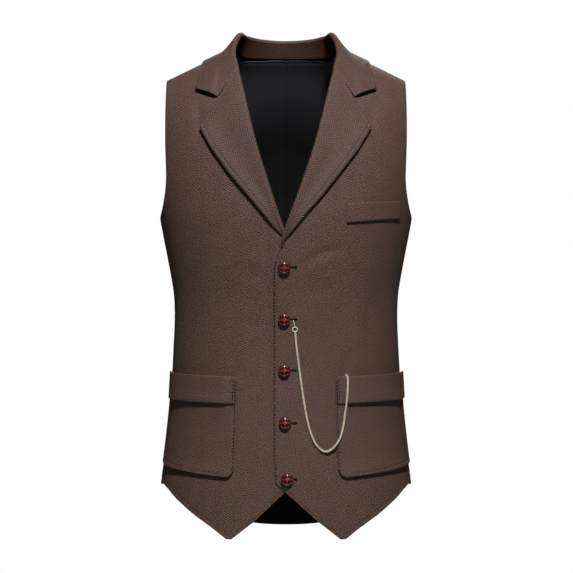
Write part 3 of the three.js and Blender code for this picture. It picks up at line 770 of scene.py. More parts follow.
@dataclass(frozen=True)
class Metal:
    """Pale polished brass."""

    base: tuple = (0.96, 0.87, 0.68, 1)
    roughness: float = 0.4

    def material(self, name: str) -> bpy.types.Material:
        """The metal's material."""
        graph = Graph(name, Base_Color=self.base, Roughness=self.roughness, Metallic=0.2)
        cloud = graph.noise(graph.object_place(), 240.0, 3.0, 0.6)
        dull = (self.base[0] * 0.8, self.base[1] * 0.75, self.base[2] * 0.66, 1)
        graph.link("Base Color", graph.mix(cloud.step(0.35, 0.75), self.base, dull))
        graph.link("Roughness", self.roughness + (cloud - 0.5) * 0.25)
        return graph.material


@dataclass(frozen=True)
class Thread:
    """Twisted sewing thread."""

    base: tuple
    shade: tuple
    sheen: float = 0.2
    specular: float = 0.5

    def material(self, name: str) -> bpy.types.Material:
        """The thread's material."""
        graph = Graph(
            name,
            Base_Color=self.base,
            Roughness=0.75,
            Specular_IOR_Level=self.specular,
            Sheen_Weight=self.sheen,
        )
        twist = graph.noise(graph.object_place(), 900.0, 2.0, 0.6)
        graph.link("Base Color", graph.mix(twist.step(0.3, 0.7), self.shade, self.base))
        graph.bump(twist, 0.0001, 0.5)
        return graph.material


class Wardrobe:
    """All the finishes of the garment, made once."""

    def __init__(self) -> None:
        """Makes the materials."""
        self.wool = HerringboneWool().material("herringbone_wool")
        self.satin = BlackSatin().material("black_satin")
        # the lining has painted light near the neck and painted shade further down
        self.lining = BlackSatin(roughness=0.7, specular=0.12, sheen=0.0).material("black_lining", lining=True)
        self.leather = PlaitedLeather().material("plaited_leather")
        self.brass = Metal().material("pale_brass")
        self.thread = Thread((0.030, 0.017, 0.012, 1), (0.014, 0.008, 0.006, 1)).material("brown_thread")
        # near-black: painted shade in the buttonholes, and dark edge stitches that partly paint the edges' shadow
        self.painted_shade_thread = Thread((0.0040, 0.0026, 0.0020, 1), (0.0018, 0.0012, 0.0010, 1), 0.0, 0.08).material("buttonhole_painted_shade_thread")
        # a darker copy of the wool for the lapels and collar leaf: painted shade, with a flatter pressed twill
        self.pressed_wool_painted_shade = HerringboneWool(
            light=(0.186, 0.0995, 0.0700, 1), twill=0.34, fleck=2.0
        ).material("pressed_wool_painted_shade")
        # a darker copy of the wool for the collar stand: painted shade inside the back of the neck
        self.stand_wool_painted_shade = HerringboneWool(
            (0.0060, 0.0022, 0.0012, 1), (0.1100, 0.0530, 0.0330, 1), specular=0.2
        ).material("collar_stand_painted_shade_wool")


class MeshData(NamedTuple):
    """Vertices in millimetres, faces of four corners, UV layers by corner and finish by face."""

    verts: np.ndarray
    faces: np.ndarray
    layers: dict[str, np.ndarray]
    finish: np.ndarray | None = None


def make_object(name: str, data: MeshData, materials: Sequence[bpy.types.Material]) -> bpy.types.Object:
    """Makes a smooth-shaded mesh object.

    Args:
        name: the piece's name.
        data: its mesh.
        materials: its materials, in the order that the faces name them.

    Returns:
        The object, linked to the scene.
    """
    mesh = bpy.data.meshes.new(name)
    mesh.from_pydata((data.verts * MM).tolist(), [], data.faces.tolist())
    for layer, values in data.layers.items():
        uv = mesh.uv_layers.new(name=layer)
        corners = values[data.faces.reshape(-1)] if len(values) == len(data.verts) else values
        uv.data.foreach_set("uv", corners.astype(np.float32).reshape(-1))
    for material in materials:
        mesh.materials.append(material)
    if data.finish is not None:
        mesh.polygons.foreach_set("material_index", data.finish.astype(np.int32))
    mesh.polygons.foreach_set("use_smooth", np.ones(len(mesh.polygons), dtype=bool))
    mesh.update()
    made = bpy.data.objects.new(name, mesh)
    bpy.context.scene.collection.objects.link(made)
    return made


def declare(piece: bpy.types.Object, slot: Slot, *nodes: str) -> bpy.types.Object:
    """Puts a piece on the garment's one body, in place of some frame nodes."""
    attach(piece, "root")
    if nodes:
        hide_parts(*nodes)
    return piece


def grid_faces(ids: np.ndarray) -> np.ndarray:
    """Faces of a grid whose vertex numbers are given."""
    a, b = ids[:-1, :-1], ids[:-1, 1:]
    c, d = ids[1:, 1:], ids[1:, :-1]
    return np.stack([a, b, c, d], axis=-1).reshape(-1, 4)


class Shell:
    """A thin closed shell of cloth round a grid, with rolled edges."""

    def __init__(
        self,
        grid: Grid,
        thickness: float,
        roll: float | dict[str, float],
        relief: np.ndarray | float = 0.0,
        square: dict[str, np.ndarray | float] | None = None,
    ) -> None:
        """Works out the two sides.

        Args:
            grid: the middle layer.
            thickness: thickness of the cloth.
            roll: distance from an edge over which the cloth rounds off, one or by edge.
            relief: height of raised or sunk places of the right side.
            square: share by which edges stay square where they are seamed to a neighbour.
        """
        self.grid = grid
        self.distances = grid.edge_distances()
        curves = []
        for edge, far in self.distances.items():
            width = roll.get(edge, 1.5) if isinstance(roll, dict) else roll
            rounded = np.sqrt(np.maximum(0, 1 - (1 - np.clip(far / width, 0, 1)) ** 2))
            share = np.asarray((square or {}).get(edge, 0.0), float)
            share = share[:, None] if share.ndim and edge in ("start", "end") else share
            curves.append(lerp(np.maximum(rounded, 0.03), 1.0, share))
        curve = np.minimum.reduce(curves)
        half = 0.5 * thickness * curve
        raised = np.broadcast_to(relief, half.shape) * curve
        self.outer = grid.points + grid.normals * (half + raised)[..., None]
        self.inner = grid.points - grid.normals * half[..., None]

    def data(self, inner_finish: np.ndarray | int = 1) -> MeshData:
        """The shell's mesh, whose wrong side has its own finish.

        Args:
            inner_finish: finish number of the wrong side, one for all faces or one each.

        Returns:
            The mesh.
        """
        rows, cols = self.outer.shape[:2]
        front = np.arange(rows * cols).reshape(rows, cols)
        back = front + rows * cols
        verts = np.concatenate([self.outer.reshape(-1, 3), self.inner.reshape(-1, 3)])
        cloth = np.concatenate([self.grid.cloth.reshape(-1, 2)] * 2)
        outer = grid_faces(front)
        inner = grid_faces(back)[:, ::-1]
        ring = np.concatenate([front[0, :-1], front[:-1, -1], front[-1, :0:-1], front[:0:-1, 0]])
        after = np.roll(ring, -1)
        rim = np.stack([after, ring, ring + rows * cols, after + rows * cols], axis=-1)
        middle = (rows // 2) * (cols - 1) + cols // 2
        a, b, _, d = (verts[outer[middle][k]] for k in range(4))
        facing = np.dot(np.cross(b - a, d - a), self.grid.normals[rows // 2, cols // 2]) > 0
        faces = np.concatenate([outer, rim, inner])
        faces = faces if facing else faces[:, ::-1]
        wrong = np.broadcast_to(np.asarray(inner_finish, int), (len(inner),))
        finish = np.concatenate([np.zeros(len(outer) + len(rim), int), wrong])
        return MeshData(verts, faces, {"cloth": cloth / CLOTH_UNIT}, finish)

    def line(self, edge: str, distance: float, start: float = 0.0, stop: float = 0.0) -> tuple[np.ndarray, np.ndarray]:
        """A line on the right side at a distance from an edge.

        Args:
            edge: start, end, bottom or top.
            distance: distance from that edge.
            start: length left out at the line's beginning.
            stop: length left out at its end.

        Returns:
            Points and normals along the line.
        """
        far = self.distances[edge]
        points, normals = self.outer, self.grid.normals
        if edge in ("bottom", "top"):
            far, points, normals = far.T, points.transpose(1, 0, 2), normals.transpose(1, 0, 2)
        if edge in ("end", "top"):
            far, points, normals = far[:, ::-1], points[:, ::-1], normals[:, ::-1]
        picked = np.array([[np.interp(distance, far[r], points[r, :, k]) for k in range(3)] for r in range(len(far))])
        facing = np.array([[np.interp(distance, far[r], normals[r, :, k]) for k in range(3)] for r in range(len(far))])
        length = running_length(picked, 0)
        keep = (length >= start) & (length <= length[-1] - stop)
        return picked[keep], unit(facing[keep])


def groove(distance: np.ndarray, place: float, width: float, depth: float) -> np.ndarray:
    """Sunk line of a row of stitches at a distance from an edge."""
    return -depth * np.exp(-(((distance - place) / width) ** 2))


EDGE = (0.0, 0.12, 0.4, 0.85, 1.5)
STITCHED = (0.0, 0.12, 0.4, 0.85, 1.5, 3.4, 5.0, 6.0, 6.6, 7.2, 7.8, 8.8, 10.5)
STITCH_INSET = 6.9
EDGE_STITCH = 1.7


class Stitching:
    """Rows of stitches gathered as one joined mesh."""

    def __init__(self, name: str, length: float = 2.8, gap: float = 1.7, radius: float = 0.27) -> None:
        """Sets the stitch's size."""
        self.name = name
        self.length = length
        self.gap = gap
        self.radius = radius
        self.parts: list[MeshData] = []

    def sew(self, points: np.ndarray, normals: np.ndarray, slant: float = 0.0) -> None:
        """Sews a row along a line; a slant leans each stitch across it."""
        if len(points) < 2:
            return
        length = running_length(points, 0)
        total = float(length[-1])
        pitch = self.length + self.gap
        count = int(total // pitch)
        if count < 1:
            return
        starts = (np.arange(count) + 0.5) * (total / count) - self.length / 2
        shape = ((0.0, -0.35, 0.5), (0.18, 0.16, 1.0), (0.5, 0.3, 1.0), (0.82, 0.16, 1.0), (1.0, -0.35, 0.5))
        sides = 6
        at = starts[:, None] + self.length * np.array([s[0] for s in shape])[None, :]
        place = np.stack([np.interp(at, length, points[:, k]) for k in range(3)], axis=-1)
        normal = unit(np.stack([np.interp(at, length, normals[:, k]) for k in range(3)], axis=-1))
        run = unit(place[:, -1:] - place[:, :1])
        side = unit(np.cross(run, normal))
        place = place + side * (slant * (np.array([s[0] for s in shape]) - 0.5))[None, :, None]
        rise = self.radius * np.array([s[1] for s in shape])[None, :, None]
        radius = self.radius * np.array([s[2] for s in shape])[None, :, None, None]
        turn = 2 * math.pi * np.arange(sides) / sides
        ring = (
            side[:, :, None, :] * np.cos(turn)[None, None, :, None]
            + normal[:, :, None, :] * np.sin(turn)[None, None, :, None]
        )
        verts = (place + normal * rise)[:, :, None, :] + ring * radius
        ids = np.arange(verts.size // 3).reshape(count, len(shape), sides)
        loop = np.concatenate([ids, ids[:, :, :1]], axis=2)
        faces = np.stack([loop[:, :-1, :-1], loop[:, :-1, 1:], loop[:, 1:, 1:], loop[:, 1:, :-1]], axis=-1)
        caps = np.stack([ids[:, 0, [0, 3, 2, 1]], ids[:, 0, [0, 5, 4, 3]]], axis=1)
        ends = np.stack([ids[:, -1, [0, 1, 2, 3]], ids[:, -1, [0, 3, 4, 5]]], axis=1)
        all_faces = np.concatenate([faces.reshape(-1, 4), caps.reshape(-1, 4), ends.reshape(-1, 4)])
        self.parts.append(MeshData(verts.reshape(-1, 3), all_faces, {}))

    def make(self, material: bpy.types.Material, slot: Slot) -> bpy.types.Object:
        """Makes the joined mesh."""
        piece = make_object(self.name, joined(self.parts), [material])
        log.info("%s: %d rows of stitches", self.name, len(self.parts))
        return declare(piece, slot)


def joined(parts: Sequence[MeshData]) -> MeshData:
    """Several meshes as one, with the layers that the first one has."""
    counts = np.cumsum([0] + [len(p.verts) for p in parts])
    verts = np.concatenate([p.verts for p in parts])
    faces = np.concatenate([p.faces + start for p, start in zip(parts, counts)])
    layers = {name: np.concatenate([p.layers[name] for p in parts]) for name in parts[0].layers}
    finish = None
    if parts[0].finish is not None:
        finish = np.concatenate([p.finish for p in parts])
    return MeshData(verts, faces, layers, finish)


def ring_tube(path: np.ndarray, side: np.ndarray, rise: np.ndarray, sides: int) -> MeshData:
    """A closed ring of round wire along a closed path.

    Args:
        path: middle line of the wire.
        side: ways across the wire, as long as its radius.
        rise: ways up from the path, as long as its radius.
        sides: number of sides of the wire.

    Returns:
        The ring's mesh.
    """
    turn = 2 * math.pi * np.arange(sides) / sides
    across = side[:, None] * np.cos(turn)[None, :, None] + rise[:, None] * np.sin(turn)[None, :, None]
    ids = np.arange(len(path) * sides).reshape(len(path), sides)
    ids = np.concatenate([ids, ids[:, :1]], axis=1)
    ids = np.concatenate([ids, ids[:1]], axis=0)
    finish = np.zeros(len(path) * sides, int)
    return MeshData((path[:, None] + across).reshape(-1, 3), grid_faces(ids), {}, finish)


@dataclass
class ClothPiece:
    """A cut and sewn piece of cloth that stands for frame nodes."""

    wardrobe: Wardrobe
    stitching: Stitching
    edge_stitching: Stitching

    def sew_up(
        self, name: str, shell: Shell, slot: Slot, held: str, wrong: np.ndarray | int = 1
    ) -> bpy.types.Object:
        """Makes a piece from its shell and states its cut.

        Args:
            name: name of the frame node that it stands for.
            shell: the piece's shell.
            slot: slot of its finish.
            held: how the cloth is held; not used.
            wrong: finish of the wrong side.

        Returns:
            The object.
        """
        dress = self.wardrobe
        right = dress.satin if slot is Slot.SATIN else dress.wool
        right = dress.lining if "lining" in name else right
        # the collar stand takes the darker copy of the wool, which is painted shade
        right = dress.stand_wool_painted_shade if name == "collar_stand" else right
        # the lapels and collar leaf take the darker copy of the wool, which is painted shade
        right = dress.pressed_wool_painted_shade if name.startswith(("lapel", "collar_leaf")) else right
        piece = make_object(f"{name}_cloth", shell.data(wrong), [right, dress.lining, dress.wool])
        declare(piece, slot, name)
        width, length = shell.grid.spans()
        area = shell.grid.area()
        area = min(max(area, 0.31 * width * length), width * length)
        log.info("%s: cut %.0f x %.0f mm, area %.4f m2", name, width, length, area * MM * MM)
        return piece


class RollPoint(NamedTuple):
    """A place on a roll line."""

    z: float
    x: float


class FrontRow(NamedTuple):
    """Inner end and side height of a row of a front panel."""

    x: float | str
    z: float
    side: float
    steps: int


ROLL_LINE = {
    Side.LEFT: (
        RollPoint(-301, -16.6),
        RollPoint(-293, -13.4),
        RollPoint(-285, -10.0),
        RollPoint(-276, -7.6),
        RollPoint(-262, -6.0),
        RollPoint(-250, -1.8),
        RollPoint(-184, 22),
        RollPoint(-133, 38.5),
        RollPoint(-57, 57.5),
        RollPoint(-38, 62.5),
    ),
    Side.RIGHT: (
        RollPoint(-285, -12.3),
        RollPoint(-249, 2.6),
        RollPoint(-184, 24.2),
        RollPoint(-133, 39.5),
        RollPoint(-57, 57.5),
        RollPoint(-38, 62.5),
    ),
}
EDGE_FOLD = 3.9
ARMHOLE_EASE = 1.0
ARMHOLE = Column((-236, -233.5, -229, -220, -208, -195, -175, -130, -45), (94, 86, 79.5, 73, 68.4, 65, 62.2, 60, 57.5))


def fold_x(side: Side, z: np.ndarray) -> np.ndarray:
    """Where a front's edge lies under the fold of its lapel."""
    rows = ROLL_LINE[side]
    fold = EDGE_FOLD if side is Side.RIGHT else EDGE_FOLD * smoothstep(np.asarray(z, float), -284, -268)
    return Column([r.z for r in rows], [r.x for r in rows]).at(z) + fold


def armhole_angle(z: np.ndarray) -> np.ndarray:
    """Edge of a front panel on the armhole side."""
    fuller = ARMHOLE_EASE * smoothstep(np.asarray(z, float), -210, -120)
    return np.where(z <= UNDERARM_Z, SIDE_SEAM, np.radians(ARMHOLE.at(z) + fuller))


class Coons:
    """A patch inside four edge curves, in angle and distance."""

    def __init__(
        self,
        inner: Callable[[np.ndarray], np.ndarray],
        outer: Callable[[np.ndarray], np.ndarray],
        bottom: Callable[[np.ndarray], np.ndarray],
        top: Callable[[np.ndarray], np.ndarray],
    ) -> None:
        """Keeps the four edges."""
        self.inner, self.outer, self.bottom, self.top = inner, outer, bottom, top

    def at(self, u: np.ndarray, v: np.ndarray) -> np.ndarray:
        """Places for shares across and up."""
        zero, one = np.zeros(1), np.ones(1)
        low = lerp(self.inner(zero)[0], self.outer(zero)[0], u[..., None])
        high = lerp(self.inner(one)[0], self.outer(one)[0], u[..., None])
        sides = lerp(self.inner(v), self.outer(v), u[..., None])
        ends = lerp(self.bottom(u), self.top(u), v[..., None])
        return sides + ends - lerp(low, high, v[..., None])


@dataclass
class FrontPanel(ClothPiece):
    """A front, from the hem point up to the shoulder, with its facing inside."""

    side: Side = Side.LEFT
    centre_x: dict = field(default_factory=lambda: {Side.LEFT: -16.6, Side.RIGHT: -14.0})
    corner_cut: float = 2.6
    tip: tuple[float, float] = (73.0, -664.5)
    hem_side_x: float = 171.0
    hem_slope: float = 0.74
    tip_slope: float = 0.31
    hem_bow: float = 3.6
    neck_seam_x: float = 73.0
    facing_width: float = 62.0
    row_spacing: float = 7.3
    rows_table: tuple[FrontRow, ...] = (
        FrontRow(73, -664.5, SIDE_HEM_Z, 3),
        FrontRow(43.3, -641, -577, 3),
        FrontRow("corner", -589, -532, 8),
        FrontRow("centre", -301, -299, 1),
        FrontRow("roll", -291, -286, 2),
        FrontRow("roll", -275, -266, 3),
        FrontRow("roll", -247, UNDERARM_Z, 1),
        FrontRow("roll", -241, -233.5, 1),
        FrontRow("roll", -233, -229, 1),
        FrontRow("roll", -220, -220, 1),
        FrontRow("roll", -200, -206, 5),
        FrontRow("roll", -57, -85, 1),
        FrontRow(68.8, -38, -68, 2),
        FrontRow(73.5, -12, -54, 1),
        FrontRow(73.5, -2, -46, 0),
    )

    def _rows(self) -> tuple[np.ndarray, np.ndarray, np.ndarray, np.ndarray]:
        """The table's rows with their steps between: x, z, side height, and on the roll or not."""
        centre = self.centre_x[self.side]
        named = {"corner": centre + self.corner_cut, "centre": centre}

        def end_x(row: FrontRow) -> float:
            """Own x of a row's inner end."""
            if row.x == "roll":
                return float(fold_x(self.side, np.array(row.z)))
            return float(named.get(row.x, row.x))

        made = []
        for i, row in enumerate(self.rows_table):
            following = self.rows_table[min(i + 1, len(self.rows_table) - 1)]
            for step in range(max(row.steps, 1)):
                t = step / max(row.steps, 1)
                z = lerp(row.z, following.z, t)
                on_roll = row.x == "roll" and following.x == "roll"
                x = lerp(end_x(row), end_x(following), t)
                if on_roll:
                    x = float(fold_x(self.side, np.array(z)))
                elif row.x == "corner" and t > 0:
                    x = centre
                made.append((x, z, lerp(row.side, following.side, t), float(on_roll)))
        table = np.array(made)
        return table[:, 0], table[:, 1], table[:, 2], table[:, 3]

    def patch(self) -> tuple[Coons, int]:
        """The panel's edges, and its number of row steps."""
        figure = BODY.figure
        x, z, side_z, on_roll = self._rows()
        last = len(x) - 1
        spots = figure.locate(x, z)
        tip = spots[0]
        neck = np.array([figure.locate(self.neck_seam_x + 0.5, 0.0)[0], -SHOULDER_SEAM])
        shoulder = np.array([float(armhole_angle(np.array(-45.0))), -SHOULDER_SEAM])
        side_foot = float(figure.locate(self.hem_side_x - 1, SIDE_HEM_Z)[1])
        spots[last] = neck

        def inner(v: np.ndarray) -> np.ndarray:
            """Front edge, roll line and neck edge."""
            place = np.clip(v, 0, 1) * last
            i = np.minimum(place.astype(int), last - 1)
            t = place - i
            level = lerp(z[i], z[i + 1], t)
            straight = lerp(x[i], x[i + 1], t)
            across = np.where(on_roll[i] > 0, fold_x(self.side, level), straight)
            found = figure.locate(across, level)
            ends = lerp(spots[i], spots[i + 1], t[..., None])
            return np.where((i == last - 1)[..., None], ends, found)

        def outer(v: np.ndarray) -> np.ndarray:
            """Side seam and armhole."""
            place = np.clip(v, 0, 1) * last
            i = np.minimum(place.astype(int), last - 1)
            t = place - i
            level = lerp(side_z[i], side_z[i + 1], t)
            angle = armhole_angle(level)
            seam = side_foot + (SIDE_HEM_Z - level)
            found = np.stack([angle, np.where(level <= UNDERARM_Z, seam, figure.down_at(angle, level))], axis=-1)
            start_angle = armhole_angle(side_z[last - 1])
            start = np.array([float(start_angle), float(figure.down_at(start_angle, side_z[last - 1]))])
            ends = lerp(start, shoulder, t[..., None])
            return np.where((i == last - 1)[..., None], ends, found)

        def bottom(u: np.ndarray) -> np.ndarray:
            """Hem: a straight slope up from the tip, level near the side."""
            angle = lerp(tip[0], SIDE_SEAM, u)
            level = figure.point(np.stack([angle, np.full_like(angle, tip[1])], axis=-1))[..., 0]
            straight = np.minimum(SIDE_HEM_Z, SIDE_HEM_Z - self.hem_slope * (self.hem_side_x - level))
            near_tip = self.tip[1] + self.tip_slope * (level - self.tip[0]) * smoothstep(u, 0, 0.15)
            bow = self.hem_bow * smoothstep(level, 92, 135) * (1 - 0.6 * smoothstep(level, 150, 171))
            height = np.maximum(straight, near_tip) - bow
            down = figure.locate(np.minimum(level, self.hem_side_x - 1), height)[..., 1]
            return np.stack([angle, down], axis=-1)

        def top(u: np.ndarray) -> np.ndarray:
            """Shoulder seam."""
            return np.stack([lerp(neck[0], shoulder[0], u), np.full_like(u, -SHOULDER_SEAM)], axis=-1)

        return Coons(inner, outer, bottom, top), last

    def grid(self) -> Grid:
        """The panel's middle layer."""
        figure = BODY.figure
        patch, last = self.patch()
        hem = np.array(STITCHED) / self.row_spacing / last
        shoulder = 1 - np.array(EDGE[::-1]) / 10.0 / last
        middle = np.linspace(hem[-1], shoulder[0], 178)[1:-1]
        v = np.concatenate([hem, middle, shoulder])
        coarse = np.broadcast_to(np.linspace(0, 1, 16), (len(v), 16))
        rough = figure.point(patch.at(coarse, np.broadcast_to(v[:, None], coarse.shape)))
        lengths = running_length(rough, 1)[:, -1]
        u = spread(lengths, STITCHED, EDGE, 46)
        spots = patch.at(u, np.broadcast_to(v[:, None], u.shape))
        lap = BODY.lap_lift(figure.point(spots), self.side)
        points, normals = BODY.lay(spots, lap, self.side)
        return Grid(points, normals, BODY.cloth(spots)).mirrored(self.side)

    def make(self) -> bpy.types.Object:
        """Makes the panel and its stitching."""
        grid = self.grid()
        far = grid.edge_distances()
        below_break = smoothstep(-grid.points[..., 2], 282, 300)
        sunk = groove(far["start"], EDGE_STITCH, 1.5, 1.2) * below_break
        sunk = sunk + groove(far["bottom"], STITCH_INSET, 0.9, 0.5)
        shell = Shell(grid, WOOL, 1.5, sunk)
        inside = np.where(far["start"][:-1, :-1].reshape(-1) < self.facing_width, 2, 1)
        piece = self.sew_up(f"front_{self.side.value}", shell, Slot.WOOL, "draped", inside)
        edge, normals = shell.line("start", EDGE_STITCH, 9.0)
        keep = (edge[:, 2] < -292) & (edge[:, 2] > -590)
        self.edge_stitching.sew(edge[keep], normals[keep], self.side.sign * 1.3)
        self.stitching.sew(*shell.line("bottom", STITCH_INSET, 9.0, 1.0))
        return piece


@dataclass
class BackPanel(ClothPiece):
    """A back half or its lining, from the centre seam to the side."""

    side: Side = Side.LEFT
    lining: bool = False
    hem_z: float = -667.0
    neckline: tuple[tuple[float, float], ...] = ((0.0, -10.6), (34.0, -11.6), (62.0, -12.6))
    neck_share: float = 0.42
    neck_seam_x: float = 73.0

    def patch(self) -> Coons:
        """The panel's edges."""
        figure = BODY.figure
        inset = 1.5 if self.lining else 0.0
        half_top = float(figure.half(0.0))
        middle = math.pi
        side_angle = SIDE_SEAM
        shoulder_down = SHOULDER_SEAM + inset / 4
        neck_end = np.array([math.pi - float(figure.locate(self.neck_seam_x, 0.0)[0]), shoulder_down])
        neck = np.array([figure.locate(x, z, True) for x, z in self.neckline] + [neck_end])
        neck[0, 0] = middle
        shoulder = np.array([math.pi - float(armhole_angle(np.array(-45.0))) + inset / half_top, shoulder_down])
        low = SIDE_HEM_Z + inset
        bottom_down = float(figure.locate(0.0, self.hem_z + inset)[1])

        def inner(v: np.ndarray) -> np.ndarray:
            """Centre seam."""
            return np.stack([np.full_like(v, middle), lerp(bottom_down, neck[0, 1], v)], axis=-1)

        def outer(v: np.ndarray) -> np.ndarray:
            """Side seam and armhole."""
            level = lerp(low, -46.0, v)
            opened = math.pi - armhole_angle(level) + (inset + SEAM) / half_top
            angle = np.where(level <= UNDERARM_Z, side_angle, np.maximum(opened, side_angle))
            found = np.stack([angle, figure.down_at(angle, level)], axis=-1)
            ends = lerp(found, shoulder, smoothstep(v, 0.9, 1.0)[..., None])
            return ends

        def bottom(u: np.ndarray) -> np.ndarray:
            """Hem, lower at the middle of the back."""
            angle = lerp(middle, side_angle, u)
            level = lerp(self.hem_z + inset, low, u * u * (2 - u))
            return np.stack([angle, figure.down_at(angle, level)], axis=-1)

        def top(u: np.ndarray) -> np.ndarray:
            """Neckline and shoulder seam."""
            on_neck = along(neck, np.clip(u / self.neck_share, 0, 1))
            t = (u - self.neck_share) / (1 - self.neck_share)
            on_shoulder = np.stack([lerp(neck_end[0], shoulder[0], t), np.full_like(u, shoulder_down)], axis=-1)
            return np.where((u <= self.neck_share)[..., None], on_neck, on_shoulder)

        return Coons(inner, outer, bottom, top)

    def grid(self) -> Grid:
        """The panel's middle layer."""
        figure = BODY.figure
        patch = self.patch()
        edge = np.array(EDGE) / 560.0
        v = np.concatenate([edge, np.linspace(edge[-1], 1 - edge[-1], 170)[1:-1], 1 - edge[::-1]])
        coarse = np.broadcast_to(np.linspace(0, 1, 16), (len(v), 16))
        rough = figure.point(patch.at(coarse, np.broadcast_to(v[:, None], coarse.shape)))
        lengths = running_length(rough, 1)[:, -1]
        u = spread(lengths, EDGE, EDGE, 48)
        spots = patch.at(u, np.broadcast_to(v[:, None], u.shape))
        lift = -(SATIN + LINING) / 2 - SEAM if self.lining else 0.0
        points, normals = BODY.lay(spots, np.full(u.shape, lift), self.side)
        if self.lining:
            normals = -normals
        return Grid(points, normals, BODY.cloth(spots)).mirrored(self.side)

    def make(self) -> bpy.types.Object:
        """Makes the panel."""
        grid = self.grid()
        far = grid.edge_distances()
        pucker = 0.5 * np.exp(-((far["start"] / 5.0) ** 2)) * (1 + 0.35 * np.sin(grid.points[..., 2] / 2.7))
        thickness = LINING if self.lining else SATIN
        tucked = 1.1 * np.exp(-((far["top"] / 3.5) ** 2)) if self.lining else 0.0
        roll = 0.3 if self.lining else 1.2
        shell = Shell(grid, thickness, roll, -pucker * (0.6 if self.lining else 1.0) - tucked)
        name = "back_lining" if self.lining else "back"
        return self.sew_up(f"{name}_{self.side.value}", shell, Slot.SATIN, "draped")


